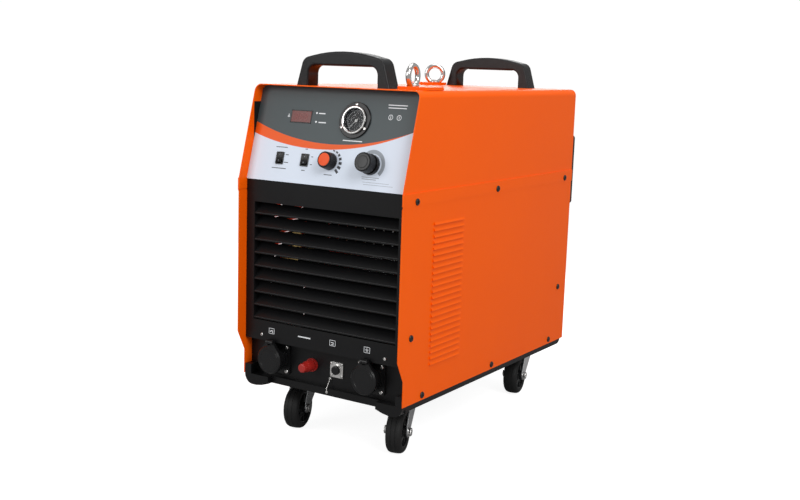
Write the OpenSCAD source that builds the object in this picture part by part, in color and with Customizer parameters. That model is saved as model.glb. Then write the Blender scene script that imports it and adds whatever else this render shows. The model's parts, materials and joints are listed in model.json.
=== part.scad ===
// Plasma cutter power source: a steel cabinet on four swivel casters.
// X is the width, -Y the front, Z up. The origin is on the floor, below the middle of the box.

/* [Cabinet] */
// Width over the side panels
body_w = 330; // [328:1:340]
// Length of the side panels, from the front lips to the rear edge
body_l = 622; // [616:1:640]
// Height of the roof above the floor
roof_z = 604.5; // [600:0.5:615]
// Height of the crease where the front starts to lean back
crease_z = 447; // [445:1:450]
// How far the roof's front edge lies behind the lips
lean_back = 42.3; // [40:0.1:45]
// Outside bend radius of the roof's long edges
bend_r = 12; // [10:1:14]
// Steel sheet thickness
sheet = 1.5; // [1.5:0.1:1.6]
// Depth of the front panels behind the lips
recess = 20; // [19:0.5:21]
// How far the connector bay steps back below the louvres
bay_step = 18; // [17:0.5:18]
// Underside of the base tray
tray_z = 94; // [94:1:96]
// Lower edge of the side panels
side_z = 104; // [103:1:105]
// Height at which the connector bay starts
ledge_z = 171; // [170:1:172]
// Furthest that a rear fitting stands out behind the side panels
rear_out = 36; // [36:1:40]

/* [Louvres] */
// Number of blades in the front grille
blade_n = 9; // [8:1:10]
// Half of the grille's width
grille_x = 146; // [144:1:148]
// Lower edge of the grille
grille_z0 = 203; // [202:1:205]
// Upper edge of the grille
grille_z1 = 407; // [405:1:409]
// Number of pressed louvres in each side panel
vent_n = 24; // [22:1:24]
// Pitch of the pressed louvres
vent_pitch = 10.1; // [10:0.1:10.2]
// How far a pressed louvre stands out
vent_out = 3; // [2.5:0.1:3]

/* [Controls] */
// Diameter of the pressure gauge's flange
gauge_d = 60; // [58:1:62]
// Diameter of the current knob
knob_d = 28; // [27:0.5:29]
// Height of the current knob above the panel
knob_h = 19.5; // [18:0.5:21]
// Diameter of the pressure regulator's knob
reg_d = 31; // [29:0.5:32]
// Height of the regulator's knob above the panel
reg_h = 27.5; // [26:0.5:30]

/* [Connectors] */
// Side of the square flange of an output socket
flange_w = 54; // [53:0.5:55]
// Diameter of an output socket's lid
lid_d = 49.5; // [48:0.5:50]
// How far a closed lid stands out of the connector panel
lid_out = 28; // [28:0.5:29]

/* [Handles and lifting eyes] */
// Width of a handle over its feet
handle_w = 186; // [180:1:190]
// Width of a handle's leg at the foot
handle_leg = 24; // [22:1:26]
// Height of a handle above the roof
handle_h = 57; // [55:1:60]
// Depth of a handle from front to back
handle_d = 31; // [28:1:33]
// Inside diameter of a lifting eye
eye_in = 24; // [23:0.5:25]
// Diameter of the bar that a lifting eye is bent from
eye_bar = 9; // [8.5:0.1:9.5]

/* [Casters] */
// Wheel diameter
wheel_d = 75; // [74:1:76]
// Tread width
wheel_w = 28; // [26:1:28]
// Distance from the swivel axis to the axle
trail = 28; // [26:1:29]
// Distance of each swivel axis from the middle of the cabinet
caster_x = 105; // [100:1:108]

/* [Hidden] */
$fn = 64;
hw = body_w / 2;
front_y = -(body_l + rear_out) / 2;
rear_y = front_y + body_l;
panel_y = front_y + recess;
bay_y = panel_y + bay_step;
back_y = rear_y - 5;
gap = 0.3;
inner_x = hw - sheet - gap;
slope_a = atan2(roof_z - crease_z, lean_back);
slope_len = norm([lean_back, roof_z - crease_z]);
overlap_z = 428;
knee_hi = 181.5;
knee_lo = 146.5;
panel_t = 2;
film_t = 0.4;
mould_t = 3;
eps = 0.01;

// Grille blades
blade_pitch = (grille_z1 - grille_z0) / blade_n;
blade_t = 2.8;
blade_in = 16;
// Pressed louvres: first one's top, front and rear ends
vent_top = 397;
vent_y0 = front_y + 96;
vent_y1 = front_y + 189;
vent_open = 6.4;

// Places on the leaning panel: across, and up the slope from the crease
display_at = [-70.7, 109.8];
gauge_at = [38.8, 109];
switch_at = [[-99.8, 37.6], [-47.9, 37.6]];
knob_at = [3.3, 39];
reg_at = [84, 39.6];
display_w = 40;
display_h = 18.6;
gauge_can_d = 44;
gauge_screw_r = 26;
switch_w = 15.5;
switch_h = 21;

// Places on the connector panel: across, and height above the floor
torch_at = [-104.2, 138];
earth_at = [91.9, 138];
pilot_at = [-30.5, 137];
control_at = [21.5, 137.2];
flange_screw = 21.3;
control_w = 26;
chain_top = [8, 120];
chain_end = [7, 98];
plug_d = 14;
lid_t = 8;
lid_back = lid_out - lid_t;
// Lid hinge: above the socket's middle, and out of the connector panel
hinge_up = 30.5;
hinge_out = lid_out - 4.5;
hinge_pin = 3;
knuckle_r = 4.5;
knuckle_half = 7;
ear_half = 3;
lid_tip = [knuckle_half, hinge_up];
lid_tangent = atan2(lid_tip[1], lid_tip[0]) - acos(lid_d / 2 / norm(lid_tip));

// Screws in the side panels: along the cabinet, and height
side_screws = [
    [front_y + 39, 433.3], [-22, 433.3], [rear_y - 35, 433.3],
    [front_y + 36, 215], [rear_y - 36, 215],
    [front_y + 76, 112.6], [-13.5, 112.6], [rear_y - 67, 112.6]];
screw_d = 5;
head_d = 11;

// Handles and lifting eyes
handle_y = [front_y + 76.5, rear_y - 51];
handle_hole = handle_w / 2 - handle_leg / 2;
eye_at = [[114, front_y + 98, 95, 1], [-106, rear_y - 90, 31, -1]];
eye_plate_in = 12.6;
eye_plate_out = 43;
eye_plate_l = 57;
eye_plate_t = 5;
eye_rise = 16.5;
eye_collar = 21;
eye_shank = 8;

// Casters: front left, front right, rear left, rear right
caster_y0 = -214;
caster_y1 = 224;
wheel_r = wheel_d / 2;
plate_t = 3;
race_d = 46;
race_t = 6;
crown_t = 2.5;
crown_z = tray_z - plate_t - race_t - 0.5;
leg_in = 16;
leg_t = 2.5;
axle_d = 8;
king_d = 10;

// Fans and rear fittings
fan_x = [-70, 70];
fan_z = 445.75;
fan_w = 119;
fan_t = 38;
fan_hole = 112;
fan_window = 98;
cowl_x = 160;
cowl_out = 19;
cowl_z0 = 377.5;
cowl_z1 = 514;
cowl_t = 2.5;
breaker_at = [0, 316];
breaker_w = 54;
gland_at = [100, 165];
gland_bore = 16;
inlet_at = [-100, 165];
spigot_d = 9;
shelf_z = 300;

// ---- helpers ----

// Box between two corners
module slab(lo, hi) {
    translate(lo) cube(hi - lo);
}

// Outline drawn in Y and Z, extruded across the width
module across(w) {
    translate([-w / 2, 0, 0]) rotate([90, 0, 90]) linear_extrude(w) children();
}

// Local frame of the leaning panel: X across, Y up the slope, Z outwards
module on_slope(at = [0, 0], h = 0) {
    translate([0, panel_y, crease_z]) rotate([slope_a, 0, 0]) translate([at[0], at[1], h]) children();
}

// Local frame of a plane that faces the front: X across, Y height, Z outwards
module on_front(y, at = [0, 0], h = 0) {
    translate([at[0], y - h, at[1]]) rotate([90, 0, 0]) children();
}

// Local frame of a plane that faces the rear, Z outwards
module on_rear(at = [0, 0], h = 0) {
    translate([at[0], back_y + h, at[1]]) rotate([-90, 0, 0]) children();
}

// Flat rectangle with round corners, centred
module round_rect(w, h, r) {
    square([w - 2 * r, h], center = true);
    square([w, h - 2 * r], center = true);
    for (sx = [-1, 1], sy = [-1, 1]) translate([sx * (w / 2 - r), sy * (h / 2 - r)]) circle(r);
}

// Upright outline with round upper corners
module round_top(half, z0, z1, r) {
    translate([-half, z0]) square([2 * half, z1 - r - z0]);
    translate([-half + r, z0]) square([2 * (half - r), z1 - z0]);
    for (s = [-1, 1]) translate([s * (half - r), z1 - r]) circle(r);
}

// Points along an arc
function arc(c, r, a0, a1, n) = [for (i = [0:n]) c + r * [cos(a0 + (a1 - a0) * i / n), sin(a0 + (a1 - a0) * i / n)]];

// Screw with a low conical head, pointing down from the surface
module screw(d, head, head_h, len) {
    cylinder(h = head_h, d1 = head, d2 = head * 0.72);
    translate([0, 0, -len]) cylinder(h = len + eps, d = d);
}

// ---- cabinet ----

// Side outline of the base tray, drawn in from its surface by d, with a round rear corner
module tray_outline(d, h) {
    corner_r = 14;
    y0 = bay_y + mould_t + d;
    y1 = back_y - sheet - gap - d;
    translate([y0, tray_z + d]) square([y1 - y0 - corner_r + d, h]);
    translate([y0, tray_z + corner_r]) square([y1 - y0, h - corner_r + d]);
    translate([y1 - corner_r + d, tray_z + corner_r]) circle(corner_r - d);
}

module base_tray() {
    wall = 2;
    wall_h = 26;
    front_h = 13;
    color("dimgray") difference() {
        across(2 * inner_x) tray_outline(0, wall_h);
        across(2 * (inner_x - wall)) tray_outline(wall, wall_h);
        slab([wall - inner_x, bay_y, tray_z + front_h], [inner_x - wall, bay_y + 20, tray_z + wall_h + 1]);
        for (p = side_screws) if (p[1] < tray_z + wall_h)
            translate([0, p[0], p[1]]) rotate([0, 90, 0]) cylinder(h = body_w, d = screw_d + 0.3, center = true);
        each_caster() plate_holes(wall + 2);
        for (x = [-60:40:60]) slab([x - 4, -60, tray_z - 1], [x + 4, 60, tray_z + wall + 1]);
    }
}

module top_cover() {
    color("orangered") difference() {
        translate([0, rear_y, 0]) rotate([90, 0, 0]) linear_extrude(body_l) difference() {
            round_top(hw, overlap_z, roof_z, bend_r);
            round_top(hw - sheet, overlap_z - 1, roof_z - sheet, bend_r - sheet);
        }
        across(body_w + 2) polygon([[front_y - 5, crease_z], [front_y, crease_z],
            [front_y + lean_back, roof_z], [front_y + lean_back, roof_z + 5], [front_y - 5, roof_z + 5]]);
        for (p = side_screws) if (p[1] > overlap_z)
            translate([0, p[0], p[1]]) rotate([0, 90, 0]) cylinder(h = body_w + 2, d = screw_d + 0.3, center = true);
        for (y = handle_y, s = [-1, 1])
            translate([s * handle_hole, y, roof_z - 5]) cylinder(h = 10, d = 6.6);
        for (e = eye_at) translate([e[0], e[1], roof_z - 5]) cylinder(h = 10, d = eye_shank + 0.4);
    }
}

// Pressed louvre blades of one side panel, on the +X side
module vent_blades() {
    for (i = [0:vent_n - 1]) {
        z1 = vent_top - i * vent_pitch;
        z0 = z1 - vent_open;
        translate([0, vent_y1, 0]) rotate([90, 0, 0]) linear_extrude(vent_y1 - vent_y0) polygon([
            [hw - sheet, z1], [hw, z1], [hw + vent_out, z0 + 1.2], [hw + vent_out, z0],
            [hw + vent_out - 1, z0], [hw - sheet, z1 - 2]]);
        for (y = [vent_y0 - sheet, vent_y1])
            translate([0, y + sheet, 0]) rotate([90, 0, 0]) linear_extrude(sheet)
                polygon([[hw - sheet, z1], [hw, z1], [hw + vent_out, z0 + 1.2], [hw + vent_out, z0], [hw - sheet, z0]]);
    }
}

// One side panel, drawn for the +X side
module side_panel() {
    color("orangered") difference() {
        union() {
            difference() {
                intersection() {
                    translate([0, rear_y, 0]) rotate([90, 0, 0]) linear_extrude(body_l) polygon([
                        [hw - sheet, side_z], [hw, side_z], [hw, overlap_z - 4], [hw + sheet, overlap_z - 1],
                        [hw + sheet, crease_z], [hw, crease_z], [hw, overlap_z - 0.5], [hw - sheet, overlap_z - 4]]);
                    across(body_w + 20) polygon([
                        [front_y, crease_z + 1], [front_y, knee_hi], [front_y + bay_step, knee_lo],
                        [front_y + bay_step, side_z - 1], [rear_y, side_z - 1], [rear_y, crease_z + 1]]);
                }
                for (i = [0:vent_n - 1])
                    slab([hw - 5, vent_y0, vent_top - i * vent_pitch - vent_open],
                         [hw + 5, vent_y1, vent_top - i * vent_pitch]);
            }
            vent_blades();
        }
        for (p = side_screws)
            translate([hw, p[0], p[1]]) rotate([0, 90, 0]) cylinder(h = 20, d = screw_d + 0.3, center = true);
    }
}

module side_panel_right() {
    side_panel();
}

module side_panel_left() {
    mirror([1, 0, 0]) side_panel();
}

// Moulded front below the control panel, with a deep cheek at each end of its grille
module louvre_panel() {
    cheek = 3;
    depth = blade_in + 1;
    color([0.1, 0.1, 0.11]) difference() {
        union() {
            difference() {
                slab([-inner_x, panel_y, ledge_z], [inner_x, panel_y + mould_t, crease_z - 3]);
                slab([-grille_x, panel_y - 1, grille_z0], [grille_x, panel_y + 5, grille_z1]);
            }
            for (s = [-1, 1])
                slab([s * (grille_x + cheek / 2) - cheek / 2, panel_y + mould_t - eps, grille_z0 - cheek],
                     [s * (grille_x + cheek / 2) + cheek / 2, panel_y + depth, grille_z1 + cheek]);
        }
        for (s = [-1, 1]) on_front(panel_y, [s * 127, 178]) cylinder(h = 20, d = 3.4, center = true);
    }
}

// Slanted slats between the cheeks
module louvre_blades() {
    color([0.1, 0.1, 0.11]) for (i = [0:blade_n - 1]) {
        z = grille_z0 + 1.5 + i * blade_pitch;
        across(2 * grille_x) polygon([[panel_y + 0.5, z], [panel_y + 0.5, z + blade_t],
            [panel_y + blade_in, z + blade_in + blade_t - 0.5], [panel_y + blade_in, z + blade_in - 0.5]]);
    }
}

module connector_panel() {
    hole_l = 12;
    color([0.1, 0.1, 0.11]) difference() {
        union() {
            slab([-inner_x, bay_y, side_z], [inner_x, bay_y + mould_t, ledge_z]);
            slab([-inner_x, panel_y, ledge_z - mould_t], [inner_x, bay_y + eps, ledge_z]);
        }
        for (p = [torch_at, earth_at]) {
            on_front(bay_y, p) cylinder(h = hole_l, d = 40.6, center = true);
            for (sx = [-1, 1], sz = [-1, 1]) on_front(bay_y, p + flange_screw * [sx, sz])
                cylinder(h = hole_l, d = 4.2, center = true);
        }
        on_front(bay_y, pilot_at) cylinder(h = hole_l, d = 12.4, center = true);
        on_front(bay_y, control_at) cylinder(h = hole_l, d = 20.4, center = true);
        on_front(bay_y, chain_top) cylinder(h = hole_l, d = 2.8, center = true);
        for (sx = [-1, 1], sz = [-1, 1]) on_front(bay_y, control_at + (control_w / 2 - 2.8) * [sx, sz])
            cylinder(h = hole_l, d = 3.2, center = true);
    }
}

// Moulded bar below the connectors, with a thick block at each end that rounds off below
module front_bumper() {
    bar_y = front_y + 30;
    block_y = front_y + bay_step + 1;
    low_z = tray_z - 8.5;
    round_r = 17;
    block = concat([[112, tray_z - 2], [126, tray_z - 6.5], [138, low_z]],
        arc([inner_x - round_r, low_z + round_r], round_r, 270, 360, 12),
        [[inner_x, tray_z + 27], [150, tray_z + 27], [150, side_z], [112, side_z]]);
    color([0.08, 0.08, 0.09]) difference() {
        union() {
            slab([-inner_x, bar_y, tray_z - 2], [inner_x, bay_y + mould_t, side_z]);
            for (m = [0, 1]) mirror([m, 0, 0]) translate([0, bay_y, 0]) rotate([90, 0, 0])
                linear_extrude(bay_y - block_y) polygon(block);
            for (m = [0, 1]) mirror([m, 0, 0])
                slab([126, bay_y - eps, low_z], [inner_x - round_r, bay_y + mould_t, side_z]);
        }
        on_front(bar_y, chain_end) cylinder(h = 16, d = 2.8, center = true);
    }
}

module slope_outline() {
    intersection() {
        round_top(inner_x, -2, slope_len - sheet - 1, bend_r - sheet);
        translate([-inner_x, -2]) square([2 * inner_x, slope_len]);
    }
}

module slope_cutouts() {
    translate(display_at) square([display_w + 0.4, display_h + 0.4], center = true);
    translate(gauge_at) circle(d = gauge_can_d + 0.6);
    for (i = [0:2]) translate(gauge_at + gauge_screw_r * [cos(90 + 120 * i), sin(90 + 120 * i)]) circle(d = 2.7);
    for (p = switch_at) translate(p) square([switch_w - 1.5, switch_h - 1.5], center = true);
    translate(knob_at) circle(d = 7.2);
    translate(reg_at) circle(d = 20.4);
}

module control_panel() {
    color("lightgray") on_slope(h = -panel_t) linear_extrude(panel_t) difference() {
        slope_outline();
        slope_cutouts();
    }
}

// Printed film on the leaning panel
module control_film() {
    color("whitesmoke") on_slope() linear_extrude(film_t) difference() {
        slope_outline();
        slope_cutouts();
    }
}

module rear_panel() {
    color("orangered") translate([0, back_y, 0]) rotate([90, 0, 0]) linear_extrude(sheet) difference() {
        round_top(inner_x, side_z, roof_z - sheet - gap, bend_r - sheet);
        for (x = fan_x) translate([x, fan_z]) square(fan_window, center = true);
        translate(breaker_at) square([breaker_w + 0.6, 46.6], center = true);
        translate(gland_at) circle(d = 22.4);
        translate(inlet_at) circle(d = 14.4);
    }
}

// ---- fans ----

module fan_cowl() {
    slot_n = 12;
    slot_pitch = (cowl_z1 - cowl_z0 - 22) / slot_n;
    color([0.06, 0.06, 0.07]) difference() {
        translate([0, back_y, (cowl_z0 + cowl_z1) / 2]) rotate([-90, 0, 0])
            linear_extrude(cowl_out + 5) round_rect(2 * cowl_x, cowl_z1 - cowl_z0, 6);
        slab([-cowl_x + cowl_t, back_y - 1, cowl_z0 + cowl_t],
             [cowl_x - cowl_t, rear_y + cowl_out - cowl_t, cowl_z1 - cowl_t]);
        for (x = fan_x, i = [0:slot_n - 1]) {
            z = cowl_z0 + 13 + slot_pitch * i;
            half = 58 - 0.0072 * pow(z - fan_z, 2);
            slab([x - half, rear_y + cowl_out - 5, z], [x + half, rear_y + cowl_out + 1, z + slot_pitch - 3.2]);
        }
    }
}

module fan_frames() {
    strut = 5;
    color([0.12, 0.12, 0.13]) for (x = fan_x) on_rear([x, fan_z], -sheet) mirror([0, 0, 1]) {
        linear_extrude(fan_t) difference() {
            round_rect(fan_w, fan_w, 4);
            circle(d = fan_hole);
            for (sx = [-1, 1], sy = [-1, 1]) translate(52.5 * [sx, sy]) circle(d = 4.3);
        }
        translate([0, 0, fan_t - 4]) difference() {
            union() {
                cylinder(h = 4, d = 46);
                for (a = [45:90:315]) rotate([0, 0, a]) slab([0, -strut / 2, 0], [fan_hole / 2 + 0.5, strut / 2, 4]);
            }
        }
    }
}

module fan_rotor(x) {
    blade_n7 = 7;
    color([0.16, 0.16, 0.17]) on_rear([x, fan_z], -sheet) mirror([0, 0, 1]) translate([0, 0, 3]) intersection() {
        cylinder(h = 29, d = fan_hole - 4);
        union() {
            cylinder(h = 29, d = 42);
            for (i = [0:blade_n7 - 1]) rotate([0, 0, i * 360 / blade_n7])
                translate([19, 0, 14.5]) rotate([38, 0, 0]) slab([0, -17, -0.9], [40, 17, 0.9]);
        }
    }
}

module fan_rotor_left() {
    fan_rotor(fan_x[0]);
}

module fan_rotor_right() {
    fan_rotor(fan_x[1]);
}

// ---- handles and lifting eyes ----

module handle_outline() {
    crown_r = 260;
    corner_r = 16.6;
    corner = [handle_w / 2 - 26.5, handle_h - 25.5];
    in_x = handle_w / 2 - handle_leg;
    in_z = handle_h - 23;
    in_r = 14;
    right = concat([[handle_w / 2, 0]], arc(corner, corner_r, 15, 75, 8),
        [for (x = [60:-15:15]) [x, handle_h - crown_r + sqrt(crown_r * crown_r - x * x)]]);
    difference() {
        polygon(concat(right, [[0, handle_h]], [for (i = [len(right) - 1:-1:0]) [-right[i][0], right[i][1]]]));
        polygon(concat([[in_x, -1]], arc([in_x - in_r, in_z - in_r], in_r, 0, 90, 6),
            arc([-in_x + in_r, in_z - in_r], in_r, 90, 180, 6), [[-in_x, -1]]));
    }
}

// Front and rear handles, each with a blind hole in either foot
module handles() {
    color([0.07, 0.07, 0.08]) for (y = handle_y) translate([0, y + handle_d / 2, roof_z]) difference() {
        rotate([90, 0, 0]) linear_extrude(handle_d) handle_outline();
        for (s = [-1, 1]) translate([s * handle_hole, -handle_d / 2, -1]) cylinder(h = 17, d = 6.2);
    }
}

// Reinforcing plates below the eyes, wider towards the cabinet's side
module lifting_plates() {
    w = eye_plate_in + eye_plate_out;
    color("orangered") for (e = eye_at) translate([e[0], e[1], roof_z]) linear_extrude(eye_plate_t) difference() {
        translate([e[3] * (eye_plate_out - eye_plate_in) / 2, 0]) round_rect(w, eye_plate_l, 4);
        circle(d = eye_shank + 0.4);
    }
}

module eye_bolts() {
    base = roof_z + eye_plate_t;
    ring_r = (eye_in + eye_bar) / 2;
    color("silver") for (e = eye_at) translate([e[0], e[1], base]) rotate([0, 0, e[2]]) union() {
        difference() {
            cylinder(h = 7, d1 = eye_collar, d2 = 15);
            translate([0, 0, eye_rise]) rotate([90, 0, 0]) cylinder(h = 30, d = eye_in, center = true);
        }
        difference() {
            translate([0, 0, eye_rise]) rotate([90, 0, 0]) rotate_extrude() translate([ring_r, 0]) circle(d = eye_bar);
            translate([0, 0, -10]) cylinder(h = 10, d = 50);
        }
        translate([0, 0, -18]) cylinder(h = 18.1, d = eye_shank);
        translate([0, 0, -13 - eps]) cylinder(h = 6.5, d = 14.5);
    }
}

// ---- controls on the leaning panel ----

module display_window() {
    color([0.35, 0.06, 0.05]) on_slope(display_at, -panel_t)
        linear_extrude(panel_t + film_t + 0.6) square([display_w, display_h], center = true);
}

module gauge_case() {
    color([0.05, 0.05, 0.05]) on_slope(gauge_at) difference() {
        union() {
            translate([0, 0, -28]) cylinder(h = 28 + film_t + 1, d = gauge_can_d);
            translate([0, 0, film_t]) cylinder(h = 3, d = gauge_d);
            translate([0, 0, film_t + 3]) cylinder(h = 4, d = 46);
            translate([0, 0, -44]) cylinder(h = 17, d = 12);
        }
        translate([0, 0, -4]) cylinder(h = 10.4, d = 42);
        translate([0, 0, 5]) cylinder(h = 5, d = 39);
        for (i = [0:2]) translate(gauge_screw_r * [cos(90 + 120 * i), sin(90 + 120 * i)])
            cylinder(h = 20, d = 2.7, center = true);
    }
    color([0.05, 0.05, 0.05]) on_slope(gauge_at, -4.5) cylinder(h = 2.8, d = 1.5);
}

module gauge_dial() {
    color("white") on_slope(gauge_at, -4) difference() {
        cylinder(h = 0.8, d = 41.6);
        translate([0, 0, -1]) cylinder(h = 3, d = 3);
    }
}

// Pointer at the zero of the scale, lower left
module gauge_needle() {
    color("black") on_slope(gauge_at, -2.2) rotate([0, 0, 225]) {
        slab([-6, -0.5, 0.6], [16, 0.5, 1.1]);
        difference() {
            translate([0, 0, -0.9]) cylinder(h = 2.1, d = 4);
            translate([0, 0, -2]) cylinder(h = 2.8, d = 1.58);
        }
    }
}

module gauge_lens() {
    color([0.8, 0.9, 0.95, 0.4]) on_slope(gauge_at, 4.6) cylinder(h = 1.8, d = 41.8);
}

module switch_housings() {
    color([0.06, 0.06, 0.06]) for (p = switch_at) on_slope(p) difference() {
        union() {
            translate([0, 0, film_t]) linear_extrude(1.6) round_rect(switch_w, switch_h, 1);
            slab([-switch_w / 2 + 1, -switch_h / 2 + 1, -14], [switch_w / 2 - 1, switch_h / 2 - 1, film_t + 0.1]);
            for (s = [-4, 4]) slab([-2.4, s - 0.4, -20], [2.4, s + 0.4, -13.9]);
        }
        slab([-6, -9, -7], [6, 9, 5]);
    }
}

// Rocker drawn about its pivot, pressed in at its lower end
module rocker(p) {
    color([0.03, 0.03, 0.03]) on_slope(p, -1) rotate([-9, 0, 0]) rotate([90, 0, 90]) union() {
        translate([0, 0, -5.7]) linear_extrude(11.4) polygon([[-8, 0.5], [-8, 4.6], [-4, 3.9], [0, 3.6], [4, 3.9], [8, 4.6], [8, 0.5]]);
        translate([0, 0, -5.7]) cylinder(h = 11.4, d = 5);
    }
}

module rocker_left() {
    rocker(switch_at[0]);
}

module rocker_right() {
    rocker(switch_at[1]);
}

module current_knob() {
    color([0.08, 0.08, 0.09]) on_slope(knob_at, film_t + 0.4) difference() {
        cylinder(h = knob_h - 2, d1 = knob_d, d2 = knob_d - 1.4);
        translate([0, 0, knob_h - 3.2]) cylinder(h = 5, d = knob_d - 5.4);
        translate([0, 0, -1]) cylinder(h = 13.4, d = 6.12);
    }
}

// Coloured cap with a pointer ridge, set in the knob's end
module current_knob_cap() {
    color("orangered") on_slope(knob_at, film_t + 0.4 + knob_h - 3.2) union() {
        cylinder(h = 1.8, d = knob_d - 5.6);
        rotate([0, 0, 215]) slab([2, -0.8, 0], [knob_d / 2 - 3.4, 0.8, 2.4]);
    }
}

module regulator_knob() {
    color([0.05, 0.05, 0.06]) on_slope(reg_at, 8) difference() {
        union() {
            cylinder(h = 4, d = reg_d - 6);
            translate([0, 0, 3]) cylinder(h = reg_h - 13, d = reg_d);
            translate([0, 0, reg_h - 10]) cylinder(h = 2, d1 = reg_d, d2 = reg_d - 4);
            rotate([0, 0, 120]) slab([reg_d / 2 - 1, -1, 4], [reg_d / 2 + 0.6, 1, reg_h - 10]);
        }
        translate([0, 0, -1]) cylinder(h = 15, d = 10.12);
    }
}

// Pressure regulator behind the panel: collar, spring bonnet, body and bowl
module regulator_body() {
    color("gray") union() {
        on_slope(reg_at) {
            translate([0, 0, film_t]) cylinder(h = 7, d = reg_d + 2);
            translate([0, 0, -3]) cylinder(h = 4, d = 20);
            translate([0, 0, 5]) cylinder(h = 15, d = 10);
            translate([0, 0, -30]) cylinder(h = 27.5, d = 30);
            translate([0, 0, -56]) cylinder(h = 27, d = 38);
        }
        translate([reg_at[0], panel_y + 55, 405]) cylinder(h = 62, d = 32);
    }
}

// ---- connector bay ----

// Square-flanged sockets, each with an ear and a pin above it for its lid
module output_sockets() {
    ear_r = knuckle_r - 0.3;
    ear_in = hinge_up - 4;
    color([0.07, 0.07, 0.08]) for (p = [torch_at, earth_at]) on_front(bay_y, p) difference() {
        union() {
            linear_extrude(4) round_rect(flange_w, flange_w, 5);
            translate([0, 0, -36]) cylinder(h = 38, d = 40);
            cylinder(h = 7, d = 46);
            cylinder(h = lid_back - 0.5, d = 38);
            translate([0, 0, -52]) cylinder(h = 18, d = 12);
            translate([-ear_half, 0, 0]) rotate([90, 0, 90]) linear_extrude(2 * ear_half) union() {
                polygon([[17, 2], [27.5, 2], [27.5, lid_back - 4], [hinge_up, lid_back - 1], [hinge_up, hinge_out],
                    [ear_in, hinge_out], [ear_in, lid_back - 0.5], [17, lid_back - 6]]);
                translate([hinge_up, hinge_out]) circle(ear_r);
            }
            translate([0, hinge_up, hinge_out]) rotate([0, 90, 0])
                cylinder(h = 2 * knuckle_half, d = hinge_pin, center = true);
        }
        translate([0, 0, -30]) cylinder(h = 60, d = plug_d + 0.12);
        for (sx = [-1, 1], sz = [-1, 1]) translate(flange_screw * [sx, sz])
            cylinder(h = 20, d = 4.2, center = true);
    }
}

// Hinged lid of one socket, closed: round below, tapering up to its two knuckles
module socket_lid(p) {
    r = lid_d / 2;
    touch = r * [cos(lid_tangent), sin(lid_tangent)];
    edge = 2;
    slot_half = ear_half + gap;
    color([0.09, 0.09, 0.1]) on_front(bay_y, p) difference() {
        union() {
            translate([0, 0, lid_back]) linear_extrude(lid_t - edge) union() {
                circle(r);
                polygon([touch, lid_tip, [-lid_tip[0], lid_tip[1]], [-touch[0], touch[1]]]);
            }
            translate([0, 0, lid_out - edge - eps]) cylinder(h = edge, r1 = r, r2 = r - edge);
            translate([0, hinge_up, hinge_out]) rotate([0, 90, 0])
                cylinder(h = 2 * knuckle_half, r = knuckle_r, center = true);
        }
        slab([-slot_half, hinge_up - knuckle_r - gap, lid_back - 5], [slot_half, hinge_up + 10, lid_out + 5]);
        translate([0, hinge_up, hinge_out]) rotate([0, 90, 0])
            cylinder(h = 30, d = hinge_pin + 0.12, center = true);
    }
}

module torch_lid() {
    socket_lid(torch_at);
}

module earth_lid() {
    socket_lid(earth_at);
}

// Insulated terminal: threaded stud and its serrated seat
module pilot_post() {
    color([0.5, 0.05, 0.04]) on_front(bay_y, pilot_at) union() {
        cylinder(h = 3, d = 23);
        for (i = [0:15]) rotate([0, 0, i * 22.5]) slab([8.5, -1, 3 - eps], [11.3, 1, 4.6]);
        translate([0, 0, -14]) cylinder(h = 14.1, d = 12);
        translate([0, 0, 3 - eps]) cylinder(h = 22, d = 6);
    }
}

module pilot_knob() {
    color([0.6, 0.08, 0.07]) on_front(bay_y, pilot_at, 5) difference() {
        union() {
            cylinder(h = 15, d1 = 18, d2 = 16);
            translate([0, 0, 15 - eps]) cylinder(h = 11, d = 16);
            for (i = [0:11]) rotate([0, 0, 30 * i]) slab([7, -1, 0], [9.4, 1, 13]);
        }
        translate([0, 0, -1]) cylinder(h = 23, d = 6.12);
    }
}

module control_socket() {
    color("silver") on_front(bay_y, control_at) difference() {
        union() {
            linear_extrude(2.4) round_rect(control_w, control_w, 1.5);
            cylinder(h = 4.5, d = 19);
            translate([0, 0, -16]) cylinder(h = 17, d = 20);
        }
        translate([0, 0, -12]) cylinder(h = 30, d = 12.12);
        for (sx = [-1, 1], sz = [-1, 1]) translate((control_w / 2 - 2.8) * [sx, sz])
            cylinder(h = 20, d = 3.2, center = true);
    }
}

module control_cap() {
    color([0.08, 0.08, 0.08]) on_front(bay_y, control_at, 4.8) union() {
        cylinder(h = 3, d1 = 15.5, d2 = 14);
        translate([0, 0, -12]) cylinder(h = 12.1, d = 12);
    }
}

// Retaining chain of the small cap: bent over the bumper's upper edge and pinned at both ends
module cap_chain() {
    bead = 2;
    off = 1.6;
    step_n = 6;
    top = [chain_top[0], bay_y - off, chain_top[1]];
    end = [chain_end[0], front_y + 30 - off, chain_end[1]];
    bend = [(top[0] + end[0]) / 2, end[1], side_z + 1];
    color("lightgray") union() {
        for (run = [[top, bend], [bend, end]]) {
            way = run[1] - run[0];
            for (i = [0:step_n]) translate(run[0] + way * i / step_n) sphere(d = bead, $fn = 16);
            translate(run[0]) rotate([0, acos(way[2] / norm(way)), atan2(way[1], way[0])])
                cylinder(h = norm(way), d = bead - 0.9, $fn = 16);
        }
        for (p = [top, end]) translate(p + [0, off, 0]) rotate([90, 0, 0]) {
            cylinder(h = 1.4, d = 4.6);
            translate([0, 0, -6]) cylinder(h = 6.1, d = 2.6);
        }
    }
}

// ---- screws ----

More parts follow.
